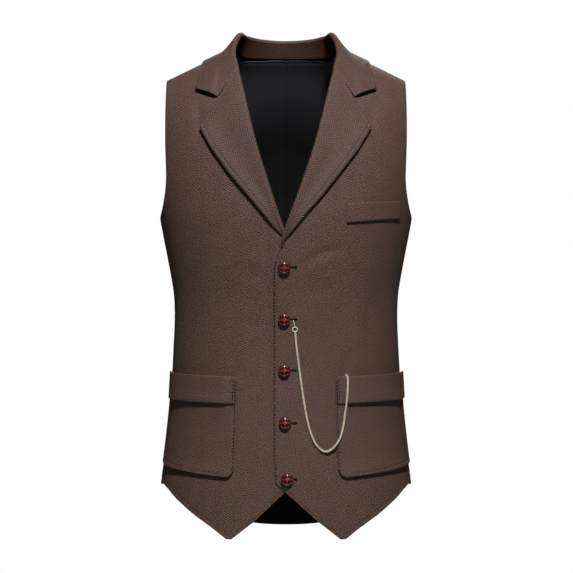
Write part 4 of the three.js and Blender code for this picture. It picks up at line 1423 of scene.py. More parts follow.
@dataclass
class Lapel(ClothPiece):
    """A lapel, rolled back from the front's edge as far as its outer edge."""

    side: Side = Side.LEFT
    roll_radius: float = 2.35
    low_z: dict = field(default_factory=lambda: {Side.LEFT: -281.0, Side.RIGHT: -255.0})
    edges: dict = field(
        default_factory=lambda: {
            Side.LEFT: (
                (-7.4, -280.0),
                (-5.4, -271.5),
                (-0.4, -263.6),
                (13.6, -246.4),
                (25.2, -231.9),
                (48.2, -206.3),
                (71.3, -176.3),
                (94.7, -145.5),
                (112.6, -115.0),
            ),
            Side.RIGHT: (
                (3.6, -261.5),
                (8.2, -256.6),
                (17.9, -245.8),
                (29.0, -232.0),
                (50.0, -207.0),
                (75.0, -177.0),
                (98.0, -144.0),
                (113.5, -115.0),
            ),
        }
    )
    notch: tuple[float, float] = (90.4, -75.6)
    top_z: float = -37.6
    edge_lift: float = 3.2

    def grid(self) -> Grid:
        """The lapel's middle layer: a half turn, then the run to the outer edge."""
        side, low = self.side, self.low_z[self.side]
        outer_line = np.array(self.edges[side])
        start = np.array([float(fold_x(side, np.array(low))), low])
        end = np.array([float(fold_x(side, np.array(self.top_z))), self.top_z])
        top_line = np.array([end, self.notch, outer_line[-1]])

        def inner(v: np.ndarray) -> np.ndarray:
            """Fold line."""
            z = lerp(low, self.top_z, v)
            return np.stack([fold_x(side, z), z], axis=-1)

        patch = Coons(
            inner,
            lambda v: along(outer_line, v),
            lambda u: lerp(start, outer_line[0], u[..., None]),
            lambda u: along(top_line, u),
        )
        edge = np.array(STITCHED) / 262.0
        near_tip = 1 - np.array(STITCHED[::-1]) / 262.0
        v = np.concatenate([edge[:5], np.linspace(edge[4], near_tip[0], 84)[1:-1], near_tip])
        root, normal = BODY.on_front(*inner(v).T, 0.0, side)
        ahead, _ = BODY.on_front(*inner(np.minimum(v + 0.004, 1.004)).T, 0.0, side)
        run_way = unit(ahead - root)
        neckward = unit(np.cross(run_way, normal))
        neckward = np.where(neckward[:, :1] > 0, -neckward, neckward)
        bend = np.linspace(0, math.pi, 11)[None, :, None]
        taper = smoothstep(v, -0.01, 0.07) if side is Side.LEFT else np.ones_like(v)
        radius = self.roll_radius * np.maximum(taper, 0.06)[:, None]
        turn = (
            root[:, None]
            + neckward[:, None] * (SEAM * taper[:, None, None] + radius[..., None] * np.sin(bend))
            + normal[:, None] * radius[..., None] * (1 - np.cos(bend))
        )
        turn_normal = neckward[:, None] * np.sin(bend) - normal[:, None] * np.cos(bend)
        ends = np.linalg.norm(along(outer_line, v) - inner(v), axis=-1)
        u = spread(ends, (0.5, 1.2, 2.4), STITCHED, 24)
        xz = patch.at(u, np.broadcast_to(v[:, None], u.shape))
        settled = smoothstep(u, 0, 0.55)
        height = lerp(2 * radius, (ON_PANEL + 0.1) * np.maximum(taper, 0.1)[:, None], settled)
        from_edge = (1 - u) * ends[:, None]
        height = height + self.edge_lift * np.exp(-((from_edge / 16.0) ** 2)) * smoothstep(v, 0.02, 0.2)[:, None]
        run, run_normal = BODY.on_front(xz[..., 0], xz[..., 1], height, side)
        points = np.concatenate([turn, run], axis=1)
        normals = np.concatenate([turn_normal, run_normal], axis=1)
        chord = unit(outer_line[-1] - outer_line[0])
        flat = xz - outer_line[0]
        run_cloth = np.stack([flat @ np.array([chord[1], -chord[0]]), flat @ chord], axis=-1)
        back_step = np.linspace(math.pi * self.roll_radius, 0.5, 11)[None, :]
        turn_cloth = np.stack([run_cloth[:, :1, 0] - back_step, np.repeat(run_cloth[:, :1, 1], 11, 1)], axis=-1)
        cloth = np.concatenate([turn_cloth, run_cloth], axis=1)
        return Grid(points, normals, cloth).mirrored(side)

    def make(self) -> bpy.types.Object:
        """Makes the lapel and its stitching."""
        grid = self.grid()
        far = grid.edge_distances()
        wide = smoothstep(far["start"] + far["end"], 24, 40)
        sunk = (groove(far["end"], STITCH_INSET, 0.9, 0.5) + groove(far["top"], STITCH_INSET, 0.9, 0.4)) * wide
        puff = 0.35 * np.exp(-(((far["end"] - 3.4) / 2.4) ** 2)) * wide
        across = np.abs(grid.points[-1, :, 0])
        rolls = {"bottom": 9.0 if self.side is Side.LEFT else 1.5}
        seamed = {"top": 1 - smoothstep(across, self.notch[0] - 2.5, self.notch[0] + 1.5)}
        shell = Shell(grid, WOOL, rolls, sunk + puff, seamed)
        piece = self.sew_up(f"lapel_{self.side.value}", shell, Slot.WOOL, "folded", 2)
        self.stitching.sew(*shell.line("end", STITCH_INSET, 34.0, 7.0))
        line, normals = shell.line("top", STITCH_INSET)
        keep = np.abs(line[:, 0]) > self.notch[0] + 1
        self.stitching.sew(line[keep], normals[keep])
        return piece


class CollarRow(NamedTuple):
    """A section of the collar: neck seam, top of the roll, foot of the fall and leaf edge."""

    seam: tuple[float, float, float]
    roll: tuple[float, float, float]
    foot: tuple[float, float, float]
    leaf: tuple[float, float, float]
    fold: float


@dataclass
class Collar(ClothPiece):
    """The collar: a stand round the neck and the leaf that turns down over it."""

    rows: tuple[CollarRow, ...] = (
        CollarRow((0, 60, -9), (0, 56, 16.8), (0, 69.5, -11), (0, 84, -32), 3.2),
        CollarRow((34, 54, -9), (31, 48, 17.8), (40, 62, -11), (50, 78, -33), 3.2),
        CollarRow((60, 37, -8), (51, 30, 20.2), (70, 39, -9), (88, 50, -30), 3.1),
        CollarRow((71, 8, -2), (58.5, 2, 21.3), (83, 4, -5), (107.5, 4, -21), 3),
        CollarRow((72.5, -17, -4), (65, -20, 11), (85, -24, -14), (111.5, -30, -38), 2.8),
        CollarRow((72.5, -36, -12), (67.8, -40, -9), (87, -45, -34), (114, -45, -53), 2.5),
        CollarRow((70, -67, -39.5), (62.4, -69.4, -38.8), (88.9, -77, -76), (115.5, -56, -67), 2.35),
    )
    stand_end: float = 0.74
    leaf_drop: float = 0.14
    end_lift: float = 4.2

    def _line(self, key: str) -> SmoothLine:
        """One column of the table from the right gorge to the left one."""
        half = [np.array(getattr(row, key), float) for row in self.rows]
        other = [p * np.array([-1, 1, 1]) for p in half[:0:-1]]
        return SmoothLine([*other, *half])

    def sections(self, s: np.ndarray) -> dict[str, np.ndarray]:
        """The collar's sections.

        Args:
            s: places from -1 at the right gorge to 1 at the left one.

        Returns:
            Tops of the stand, ways up and out, roll radii, feet and leaf edges.
        """
        figure = BODY.figure
        t = (s + 1) / 2
        place = np.abs(s) * (len(self.rows) - 1)
        fold = np.interp(place, np.arange(len(self.rows)), [row.fold for row in self.rows])[:, None]
        roll_line = self._line("roll")
        seam = figure.settle(self._line("seam").at(t), 0.0)
        roll = roll_line.at(t)
        way = roll_line.tangent(t)
        up = roll - seam
        up = unit(up - way * dot(up, way))
        out = unit(np.cross(way, up))
        out = np.where(dot(out, figure.outward(seam)) < 0, -out, out)
        lift = ON_PANEL + SEAM
        end = np.exp(-(((1 - np.abs(s)) / 0.1) ** 2))
        return {
            "seam": seam,
            "top": roll - up * (fold + WOOL / 2),
            "up": up,
            "out": out,
            "fold": fold,
            "foot": figure.settle(self._line("foot").at(t), lift),
            "leaf": figure.settle(self._line("leaf").at(t), lift + self.end_lift * end),
            "end": end,
        }

    def stand_grid(self) -> Grid:
        """The stand's middle layer."""
        s = np.linspace(-self.stand_end, self.stand_end, 121)
        made = self.sections(s)
        foot = made["seam"] + made["up"] * 0.6
        head = made["top"]
        v = spread(np.array([24.0]), EDGE, EDGE, 8)[0]
        points = foot[:, None] + (head - foot)[:, None] * v[None, :, None]
        normals = np.broadcast_to(made["out"][:, None], points.shape)
        length = running_length(points, 0)
        height = running_length(points, 1)
        return Grid(points, -normals, np.stack([length[:, :1] + 0 * height, height], axis=-1))

    def leaf_grid(self) -> Grid:
        """The leaf's middle layer: a half turn over the stand, the fall and the flat part."""
        figure = BODY.figure
        edge = np.array(STITCHED) / 215.0
        s = np.concatenate([-1 + edge, np.linspace(-1 + edge[-1], 1 - edge[-1], 190)[1:-1], 1 - edge[::-1]])
        made = self.sections(s)
        top, up, out, fold = (made[key] for key in ("top", "up", "out", "fold"))
        foot, leaf, sharp = made["foot"], made["leaf"], (s**6)[:, None]
        bend = np.linspace(0, math.pi, 11)[None, :, None]
        turn = (
            top[:, None]
            + up[:, None] * fold[:, None] * np.sin(bend)
            + out[:, None] * fold[:, None] * (1 - np.cos(bend))
        )
        turn_normal = -(up[:, None] * np.sin(bend) - out[:, None] * np.cos(bend))
        start = turn[:, -1]
        drop = self.leaf_drop * np.linalg.norm(foot - start, axis=1, keepdims=True) * (1 - sharp)
        control = lerp(start - up * drop, foot, 0.5 * sharp)
        t = np.linspace(0, 1, 13)[None, 1:, None]
        fall = start[:, None] * (1 - t) ** 2 + 2 * control[:, None] * t * (1 - t) + foot[:, None] * t**2
        flat_length = np.linalg.norm(leaf - foot, axis=1)
        u = spread(flat_length, (1.5, 3.0), STITCHED, 5)
        flat = foot[:, None] + (leaf - foot)[:, None] * u[..., None]
        run = np.concatenate([fall, flat], axis=1)
        for _ in range(6):
            eased = run.copy()
            eased[:, 1:-14] = (run[:, :-15] + 2 * run[:, 1:-14] + run[:, 2:-13]) / 4
            run = lerp(run, eased, 1 - sharp[:, None])
        at_foot = running_length(run, 1) / running_length(run, 1)[:, 11:12]
        rising = self.end_lift * made["end"][:, None] * smoothstep(at_foot, 1.0, 1.14)
        low = ON_PANEL + SEAM
        sunk = 0.7 * smoothstep(np.abs(s), 0.97, 1)[:, None] * (1 - smoothstep(at_foot, 0.95, 1.03))
        laid = lerp(2 * fold, ON_PANEL + 0.1, smoothstep(at_foot, 0, 1.1)) + rising - sunk
        free = np.maximum(figure.height(run), low + rising)
        run = figure.settle(run, lerp(free, laid, smoothstep(np.abs(s), 0.93, 0.99)[:, None]))
        points = np.concatenate([turn, run], axis=1)
        across = np.gradient(points, axis=1)
        lengthwise = np.gradient(points, axis=0)
        normals = unit(np.cross(lengthwise, across))
        outward = figure.outward(points)
        normals = np.where(dot(normals[:, -5:-4], outward[:, -5:-4]) < 0, -normals, normals)
        length = running_length(points, 0)
        height = running_length(points, 1)
        middle = length[:, 12:13] - length[len(s) // 2, 12]
        return Grid(points, normals, np.stack([middle + 0 * height, height], axis=-1))

    def make(self) -> None:
        """Makes both parts of the collar and their stitching."""
        stand = Shell(self.stand_grid(), WOOL, 1.2, square={"end": 1.0})
        self.sew_up("collar_stand", stand, Slot.WOOL, "folded", 2)
        grid = self.leaf_grid()
        far = grid.edge_distances()
        sunk = groove(far["end"], STITCH_INSET, 0.9, 0.4)
        gorge = 1 - smoothstep(np.arange(grid.points.shape[1]), 22, 25)
        leaf = Shell(grid, WOOL, 1.5, sunk, {"start": 1.0, "bottom": gorge, "top": gorge})
        self.sew_up("collar_leaf", leaf, Slot.WOOL, "folded", 2)
        self.stitching.sew(*leaf.line("end", STITCH_INSET, 7.0, 7.0))


@dataclass
class CuffedPocket(ClothPiece):
    """A patch pocket with a turned-down cuff at its mouth."""

    side: Side = Side.LEFT
    inner_top: float = 64.6
    inner_bottom: float = 69.0
    outer_angle: float = math.radians(86)
    top: tuple[float, float] = (-448.0, -443.5)
    bottom: tuple[float, float] = (-582.0, -568.0)
    corner: float = 14.0
    gape: float = 3.8
    cuff_depth: float = 36.5
    edge_lift: float = 1.9
    edge_width: float = 11.0

    def _gape(self, u: np.ndarray, depth: np.ndarray) -> np.ndarray:
        """How far the mouth stands off the front."""
        across = smoothstep(u, 0, 0.09) * (1 - smoothstep(u, 0.45, 0.95))
        return self.gape * across * (1 - smoothstep(depth, 14, 75))

    def grid(self, cuff: bool) -> Grid:
        """Middle layer of the cuff or of the pocket under it."""
        figure = BODY.figure
        from_top = 0.0 if cuff else 1.0
        high = np.array(self.top) - from_top
        low = np.array(self.top) - self.cuff_depth if cuff else np.array(self.bottom)
        rows = abs(high[0] - low[0])
        v = spread(np.array([rows]), STITCHED if not cuff else EDGE, EDGE, 12 if cuff else 40)[0]
        v = 1 - v[::-1]
        u = spread(np.array([105.0]), STITCHED, EDGE, 34)[0]
        inner_z = lerp(high[0], low[0], v)[:, None]
        outer_z = lerp(high[1], low[1], v)[:, None]
        reach = low[0] + self.corner - inner_z
        bite = self.corner - np.sqrt(np.maximum(self.corner**2 - np.maximum(reach, 0) ** 2, 0))
        bite = np.where(reach > 0, bite, 0) * (0.0 if cuff else 0.8)
        share = (inner_z - self.top[0]) / (self.bottom[0] - self.top[0])
        inset = 1.8 if cuff else 0.0
        inner = figure.locate(lerp(self.inner_top, self.inner_bottom, share) + bite + inset, inner_z)
        angle = lerp(inner[..., 0], self.outer_angle, u[None, :])
        z = lerp(inner_z, outer_z, u[None, :])
        spots = np.stack([angle, figure.down_at(angle, z)], axis=-1)
        lap = BODY.lap_lift(figure.point(spots), self.side)
        sewn_in = 1 - (0.4 if self.side is Side.RIGHT else 0.15) * smoothstep(u, 0.7, 1.0)
        lift = (2 if cuff else 1) * ON_PANEL * sewn_in[None, :]
        depth = self.top[0] - z
        low_edge = np.exp(-(((1 - v[:, None]) * rows / self.edge_width) ** 2))
        near_end = (smoothstep(u, 0, 0.1) if cuff else 1.0) * (1 - smoothstep(u, 0.7, 0.97))[None, :]
        stand_off = self.edge_lift * low_edge * near_end
        points, normals = BODY.lay(spots, lap + lift + stand_off + self._gape(u[None, :], depth), self.side)
        return Grid(points, normals, BODY.cloth(spots)).mirrored(self.side)

    def make(self) -> None:
        """Makes the pocket, its cuff and their stitching."""
        name = self.side.value
        grid = self.grid(False)
        far = grid.edge_distances()
        sunk = groove(far["start"], EDGE_STITCH, 0.8, 0.35) + groove(far["top"], STITCH_INSET, 0.9, 0.5)
        pocket = Shell(grid, WOOL, 1.5, sunk)
        self.sew_up(f"pocket_{name}", pocket, Slot.WOOL, "draped", 1)
        self.edge_stitching.sew(*pocket.line("start", EDGE_STITCH, 2.0, 14.0))
        self.stitching.sew(*pocket.line("top", STITCH_INSET, 16.0, 1.0))
        grid = self.grid(True)
        far = grid.edge_distances()
        cuff = Shell(grid, WOOL, 1.5, groove(far["start"], 2.2, 0.8, 0.35))
        self.sew_up(f"pocket_cuff_{name}", cuff, Slot.WOOL, "folded", 2)
        self.edge_stitching.sew(*cuff.line("start", 2.2, 2.0, 2.0))


@dataclass
class BreastWelt(ClothPiece):
    """The welt of the left breast pocket."""

    top: tuple[tuple[float, float], tuple[float, float]] = ((80.3, -216.6), (152.2, -212.0))
    bottom: tuple[tuple[float, float], tuple[float, float]] = ((80.0, -242.5), (151.5, -235.5))

    def make(self) -> bpy.types.Object:
        """Makes the welt and the stitches at its ends."""
        v = spread(np.array([26.0]), EDGE, EDGE, 10)[0][:, None, None]
        u = spread(np.array([72.0]), STITCHED, STITCHED, 20)[0][None, :, None]
        low = lerp(np.array(self.bottom[0]), np.array(self.bottom[1]), u)
        high = lerp(np.array(self.top[0]), np.array(self.top[1]), u)
        xz = lerp(low, high, v)
        lift = ON_PANEL + 0.5 * (1 - smoothstep(v[..., 0], 0, 0.5)) * np.ones_like(xz[..., 0])
        points, normals = BODY.on_front(xz[..., 0], xz[..., 1], lift, Side.LEFT)
        grid = Grid(points, normals, BODY.cloth(BODY.figure.locate(xz[..., 0], xz[..., 1])))
        far = grid.edge_distances()
        sunk = groove(far["start"], 4.0, 0.9, 0.4) + groove(far["end"], 4.0, 0.9, 0.4)
        shell = Shell(grid, WOOL, 1.5, sunk)
        piece = self.sew_up("breast_welt", shell, Slot.WOOL, "draped", 2)
        self.stitching.sew(*shell.line("start", 4.0, 1.5, 1.5))
        self.stitching.sew(*shell.line("end", 4.0, 1.5, 1.5))
        return piece


class ButtonPlace(NamedTuple):
    """Centre of a button on the left front."""

    x: float
    z: float


BUTTONS = (
    ButtonPlace(-2.3, -301.6),
    ButtonPlace(-2.3, -371.4),
    ButtonPlace(-2.1, -439.9),
    ButtonPlace(-1.3, -509.7),
    ButtonPlace(1.6, -584.2),
)


def frame_at(x: float, z: float, height: float) -> tuple[np.ndarray, np.ndarray]:
    """A place on the left front and its three directions: right, up and out."""
    points, normals = BODY.on_front(np.array([x]), np.array([z]), height, Side.LEFT)
    out = normals[0]
    right = unit(np.cross(np.array([0.0, 0.0, 1.0]), out) * -1)
    right = right if right[0] > 0 else -right
    up = unit(np.cross(out, right) * -1)
    up = up if up[2] > 0 else -up
    return points[0], np.stack([right, up, out])


@dataclass
class LeatherButton:
    """A domed button of plaited leather straps."""

    wardrobe: Wardrobe
    radius: float = 8.2
    rise: float = 1.6
    height: float = 7.7
    rings: int = 44
    spokes: int = 72
    strap: float = 0.21

    def _plait(self, a: np.ndarray, b: np.ndarray) -> tuple[np.ndarray, np.ndarray]:
        """Height and wear of the plait at places of the button's face.

        Args:
            a: share across, from -1 to 1.
            b: share up.

        Returns:
            Heights from 0 in a groove to 1 on a strap, and the share of wear and painted highlight, brightest at the
            dome's middle.
        """
        far = np.hypot(a, b)

        def strap(cross: np.ndarray, run: np.ndarray) -> np.ndarray:
            """Height of one middle strap, which dives under the other where they don't cross."""
            crown = np.sqrt(np.clip(1 - (cross / self.strap) ** 2, 0, 1))
            return crown * (0.86 + 0.14 * np.cos(2 * math.pi * run / 0.9))

        middle = np.maximum(strap(b, a), strap(a, b) * 0.93)
        twist = np.sin(9.0 * (np.abs(a) + np.abs(b))) * np.sin(9.0 * (np.abs(a) - np.abs(b)))
        between = 0.26 + 0.2 * twist
        turn = np.arctan2(b, a)
        outer = smoothstep(far, 0.6, 0.78) * (0.72 + 0.14 * np.cos(turn * 8))
        height = np.maximum.reduce([middle, between, outer])
        # wear and painted highlight: bright on the middle straps, fading towards the rim, dim on the ring
        wear_and_highlight = np.where(middle >= np.maximum(outer, between), 0.8 - 0.75 * far**2, 0.08)
        return height, wear_and_highlight

    def make(self, number: int, place: ButtonPlace) -> bpy.types.Object:
        """Makes one button on the left front."""
        origin, axes = frame_at(place.x, place.z, WOOL / 2 + SEAM)
        face = np.sin(np.linspace(0, math.pi / 2, self.rings + 1))[1:]
        angle = 2 * math.pi * np.arange(self.spokes) / self.spokes
        share = face[:, None] * np.ones_like(angle)[None, :]
        a, b = share * np.cos(angle), share * np.sin(angle)
        plait, wear_and_highlight = self._plait(a, b)
        crown = np.sqrt(np.maximum(0, 1 - share**2.4))
        rim = self.rise + 1.9
        depth = 0.75 * (plait - 1) * (1 - 0.35 * share**6)
        up_out = rim + (self.height - rim) * crown + depth * (0.35 + 0.65 * crown)
        side_in = self.radius * share + depth * (1 - crown) * 0.8
        top = np.stack([side_in * np.cos(angle), side_in * np.sin(angle), up_out], axis=-1)
        under_share = np.array([0.99, 0.95, 0.86, 0.7, 0.45, 0.31, 0.3])
        under_height = np.array([rim - 0.7, rim - 1.3, rim - 1.7, rim - 1.85, rim - 1.9, rim - 1.9, 0.0])
        ring = np.stack([np.cos(angle), np.sin(angle)], axis=-1)
        under = np.concatenate(
            [
                under_share[:, None, None] * self.radius * ring[None],
                np.broadcast_to(under_height[:, None, None], (len(under_share), self.spokes, 1)),
            ],
            axis=-1,
        )
        layers = np.concatenate([top, under])
        local = np.concatenate([layers.reshape(-1, 3), [[0, 0, self.height], [0, 0, 0]]])
        verts = origin + local @ axes
        rows = len(layers)
        ids = np.arange(rows * self.spokes).reshape(rows, self.spokes)
        wrapped = np.concatenate([ids, ids[:, :1]], axis=1)
        faces = grid_faces(wrapped)
        tip, foot = rows * self.spokes, rows * self.spokes + 1
        even = np.arange(0, self.spokes, 2)
        after = (even + 1) % self.spokes, (even + 2) % self.spokes
        cap = np.stack([np.full_like(even, tip), ids[0, even], ids[0, after[0]], ids[0, after[1]]], axis=1)
        base = np.stack([np.full_like(even, foot), ids[-1, after[1]], ids[-1, after[0]], ids[-1, even]], axis=1)
        faces = np.concatenate([faces[:, ::-1], cap, base])
        # plait heights, which the leather's colour reads: the underside's low value gives it painted shade
        shade = np.concatenate([plait.reshape(-1), np.full((rows - self.rings) * self.spokes, 0.35), [1.0, 0.2]])
        painted_highlight_and_wear = np.concatenate([wear_and_highlight.reshape(-1), np.zeros((rows - self.rings) * self.spokes), [0.75, 0.0]])
        data = MeshData(verts, faces, {"plait": np.stack([shade, painted_highlight_and_wear], axis=-1)})
        name = f"button_{number}"
        piece = make_object(f"{name}_plaited", data, [self.wardrobe.leather])
        return declare(piece, Slot.LEATHER, name)


@dataclass
class Buttonhole:
    """Keyhole buttonholes: a slit with an eye at its end, bordered with thread and filled with a near-black plate of
    painted shade.
    """

    wardrobe: Wardrobe
    start_x: float = -4.0
    eye_x: float = 13.0
    slit: float = 1.1
    eye: float = 1.8
    cord: float = 0.42
    wraps: int = 34
    leans: tuple[float, ...] = (0.2, 0.2, 0.4, 0.0, 0.0)

    def _half(self) -> np.ndarray:
        """Upper half of the outline, from the eye's far end to the slit's other end."""
        meet = math.pi - math.asin(self.slit / self.eye)
        round_eye = [(self.eye_x + self.eye * math.cos(t), self.eye * math.sin(t)) for t in np.linspace(0, meet, 15)]
        ends = [(self.start_x, self.slit), (self.start_x - 0.6, self.slit * 0.7), (self.start_x - 0.85, 0)]
        return along(np.array([*round_eye, *ends]), np.linspace(0, 1, self.wraps))

    def data(self, place: ButtonPlace, lean: float) -> MeshData:
        """Mesh of the buttonhole beside a button."""
        origin, axes = frame_at(place.x, place.z + lean, WOOL / 2)
        half = self._half() - np.array([place.x, 0])
        path = np.concatenate([half, half[-2:0:-1] * np.array([1, -1])])
        way = unit(np.roll(path, -1, 0) - np.roll(path, 1, 0))
        cord = self.cord * (1 + 0.2 * (-1.0) ** np.arange(len(path)))[:, None]
        flat = np.zeros((len(path), 1))
        border = ring_tube(
            origin + np.concatenate([path, flat + 0.1], axis=1) @ axes,
            np.concatenate([way[:, 1:] * cord, -way[:, :1] * cord, flat], axis=1) @ axes,
            np.concatenate([flat, flat, 0.8 * cord], axis=1) @ axes,
            8,
        )
        # painted shade: a near-black plate fills the slit and the eye
        wide = np.maximum(half[:, 1], 0.12)[:, None] * np.linspace(-1, 1, 5)[None, :]
        spots = np.stack([np.repeat(half[:, :1], 5, 1), wide, 0 * wide], axis=-1)
        painted_shade_plate = Grid(origin + spots @ axes, np.broadcast_to(axes[2], spots.shape), spots[..., :2])
        painted_shade_sheet = Shell(painted_shade_plate, 0.5, 0.2).data(0)
        return joined([border, MeshData(painted_shade_sheet.verts, painted_shade_sheet.faces, {}, painted_shade_sheet.finish + 1)])

    def make_all(self) -> bpy.types.Object:
        """Makes all five buttonholes as one piece."""
        parts = [self.data(place, lean) for place, lean in zip(BUTTONS, self.leans)]
        dress = self.wardrobe
        piece = make_object("buttonholes", joined(parts), [dress.thread, dress.painted_shade_thread])
        return declare(piece, Slot.WOOL)


class ChainPoint(NamedTuple):
    """A point of the chain's route, at a height above the left front."""

    x: float
    z: float
    height: float


@dataclass
class PocketChain:
    """The thin chain from the second buttonhole to the left pocket."""

    wardrobe: Wardrobe
    diameter: float = 2.8
    link_width: float = 3.2
    link_length: float = 3.7
    link_wire: float = 0.44
    pitch: float = 1.5
    ring: tuple[float, float, float, float] = (11.8, -384.6, 3.2, 0.75)
    hook: tuple[tuple[float, float], tuple[float, float]] = ((9.6, -372.2), (11.4, -380.0))
    route: tuple[ChainPoint, ...] = (
        ChainPoint(12.2, -389.2, 3.1),
        ChainPoint(13.4, -404, 3.1),
        ChainPoint(17, -433, 3.1),
        ChainPoint(21.5, -467, 3.1),
        ChainPoint(27, -501, 3.1),
        ChainPoint(33, -524, 3.2),
        ChainPoint(41, -540, 3.4),
        ChainPoint(51.5, -547.5, 4.2),
        ChainPoint(61, -543, 6.2),
        ChainPoint(69.5, -531, 7.6),
        ChainPoint(74, -515, 7.8),
        ChainPoint(75.8, -497, 10.4),
        ChainPoint(76.6, -484, 13.6),
        ChainPoint(77.6, -470, 14.3),
        ChainPoint(78.0, -456, 14.4),
        ChainPoint(78.0, -449.5, 13.6),
        ChainPoint(77.8, -446.4, 11.4),
        ChainPoint(77.5, -445.8, 8.3),
        ChainPoint(77.3, -448.4, 4.9),
        ChainPoint(77.1, -453, 3.2),
        ChainPoint(77, -458, 3),
    )

    def path(self) -> np.ndarray:
        """The chain's middle line, in small steps."""
        table = np.array(self.route)
        spots = BODY.figure.locate(table[:, 0], table[:, 1])
        base = BODY.figure.point(spots)
        lap = BODY.lap_lift(base, Side.LEFT)
        relief = BODY.drape.relief(base)
        points = base + BODY.figure.outward(base) * (lap + relief + table[:, 2])[:, None]
        return SmoothLine(points).at(np.linspace(0, 1, 700))

    def _link(self) -> MeshData:
        """One oval link, lying along X in the XY plane."""
        turn = 2 * math.pi * np.arange(16) / 16
        half = self.link_width / 2 - self.link_wire
        reach = self.link_length / 2 - self.link_wire - half
        shift = np.where(np.cos(turn) > 0, reach, -reach)
        centre = np.stack([half * np.cos(turn) + shift, half * np.sin(turn), 0 * turn], axis=-1)
        out = np.stack([np.cos(turn), np.sin(turn), 0 * turn], axis=-1)
        up = np.broadcast_to(np.array([0, 0, self.link_wire]), out.shape)
        return ring_tube(centre, out * self.link_wire, up, 7)

    def make(self) -> bpy.types.Object:
        """Makes the chain, its ring and its hook."""
        path = self.path()
        length = running_length(path, 0)
        count = int(length[-1] / self.pitch)
        at = (np.arange(count) + 0.5) * length[-1] / count
        place = np.stack([np.interp(at, length, path[:, k]) for k in range(3)], axis=-1)
        way = unit(np.gradient(path, axis=0))
        way = unit(np.stack([np.interp(at, length, way[:, k]) for k in range(3)], axis=-1))
        out = np.array([0.0, -1.0, 0.0]) - way * dot(way, np.array([0.0, -1.0, 0.0]))
        out = unit(np.where(np.abs(way[:, 1:2]) > 0.9, np.array([[1.0, 0, 0]]) - way * way[:, :1], out))
        side = np.cross(out, way)
        roll = math.radians(45) + math.radians(90) * (np.arange(count) % 2)
        roll = (roll + 0.12 * np.sin(np.arange(count) * 1.7))[:, None]
        flat = side * np.cos(roll) + out * np.sin(roll)
        edge = np.cross(way, flat)
        link = self._link()
        axes = np.stack([way, flat, edge], axis=1)
        links = place[:, None] + np.einsum("vk,nkj->nvj", link.verts, axes)
        all_faces = (link.faces[None] + (np.arange(count) * len(link.verts))[:, None, None]).reshape(-1, 4)
        chain = make_object("chain_links", MeshData(links.reshape(-1, 3), all_faces, {}), [self.wardrobe.brass])
        declare(chain, Slot.BRASS, "chain")
        ring, hook = self._ring(), self._hook()
        step = max(1, len(path) // 120)
        route = [tuple(float(c) for c in p * MM) for p in [*path[::step], path[-1]]]
        log.info("chain: %d links, %.0f mm", count, length[-1])
        return chain

    def _ring(self) -> bpy.types.Object:
        """The jump ring at the chain's upper end."""
        x, z, radius, wire = self.ring
        origin, axes = frame_at(x, z, WOOL / 2 + SEAM + wire)
        turn = 2 * math.pi * np.arange(40) / 40
        out = np.stack([np.cos(turn), np.sin(turn), 0 * turn], axis=-1) @ axes
        up = np.broadcast_to(axes[2] * wire, out.shape)
        data = ring_tube(origin + out * radius, out * wire, up, 12)
        return declare(make_object("chain_ring_brass", data, [self.wardrobe.brass]), Slot.BRASS, "chain_ring")

    def _hook(self) -> bpy.types.Object:
        """The short bar from the ring up into the buttonhole."""
        (top_x, top_z), (low_x, low_z) = self.hook
        wire = self.ring[3]
        ends, _ = BODY.on_front(np.array([top_x, low_x]), np.array([top_z, low_z]), WOOL / 2 + SEAM + wire, Side.LEFT)
        share = np.linspace(0, 1, 15)
        line = ends[0] + (ends[1] - ends[0]) * share[:, None]
        way = unit(ends[1] - ends[0])
        side = unit(np.cross(way, np.array([0.0, 1.0, 0.0])))
        out = np.cross(side, way)
        bulge = np.sqrt(np.clip(1 - (2 * share - 1) ** 8, 0.02, 1)) * (1 - 0.18 * np.sin(math.pi * share))
        ring = 2 * math.pi * np.arange(12) / 12
        local = side * np.cos(ring)[:, None] + out * np.sin(ring)[:, None]
        verts = line[:, None] + local[None] * (wire * bulge)[:, None, None]
        ids = np.arange(180).reshape(15, 12)
        wrapped = np.concatenate([ids, ids[:, :1]], axis=1)
        faces = grid_faces(wrapped)
        caps = [[ids[0, 0], ids[0, k + 2], ids[0, k + 1], ids[0, k]] for k in range(1, 10, 3)]
        caps += [[ids[-1, 0], ids[-1, k], ids[-1, k + 1], ids[-1, k + 2]] for k in range(1, 10, 3)]
        data = MeshData(verts.reshape(-1, 3), np.concatenate([faces, np.array(caps)]), {})
        return declare(make_object("chain_hook_brass", data, [self.wardrobe.brass]), Slot.BRASS, "chain_hook")


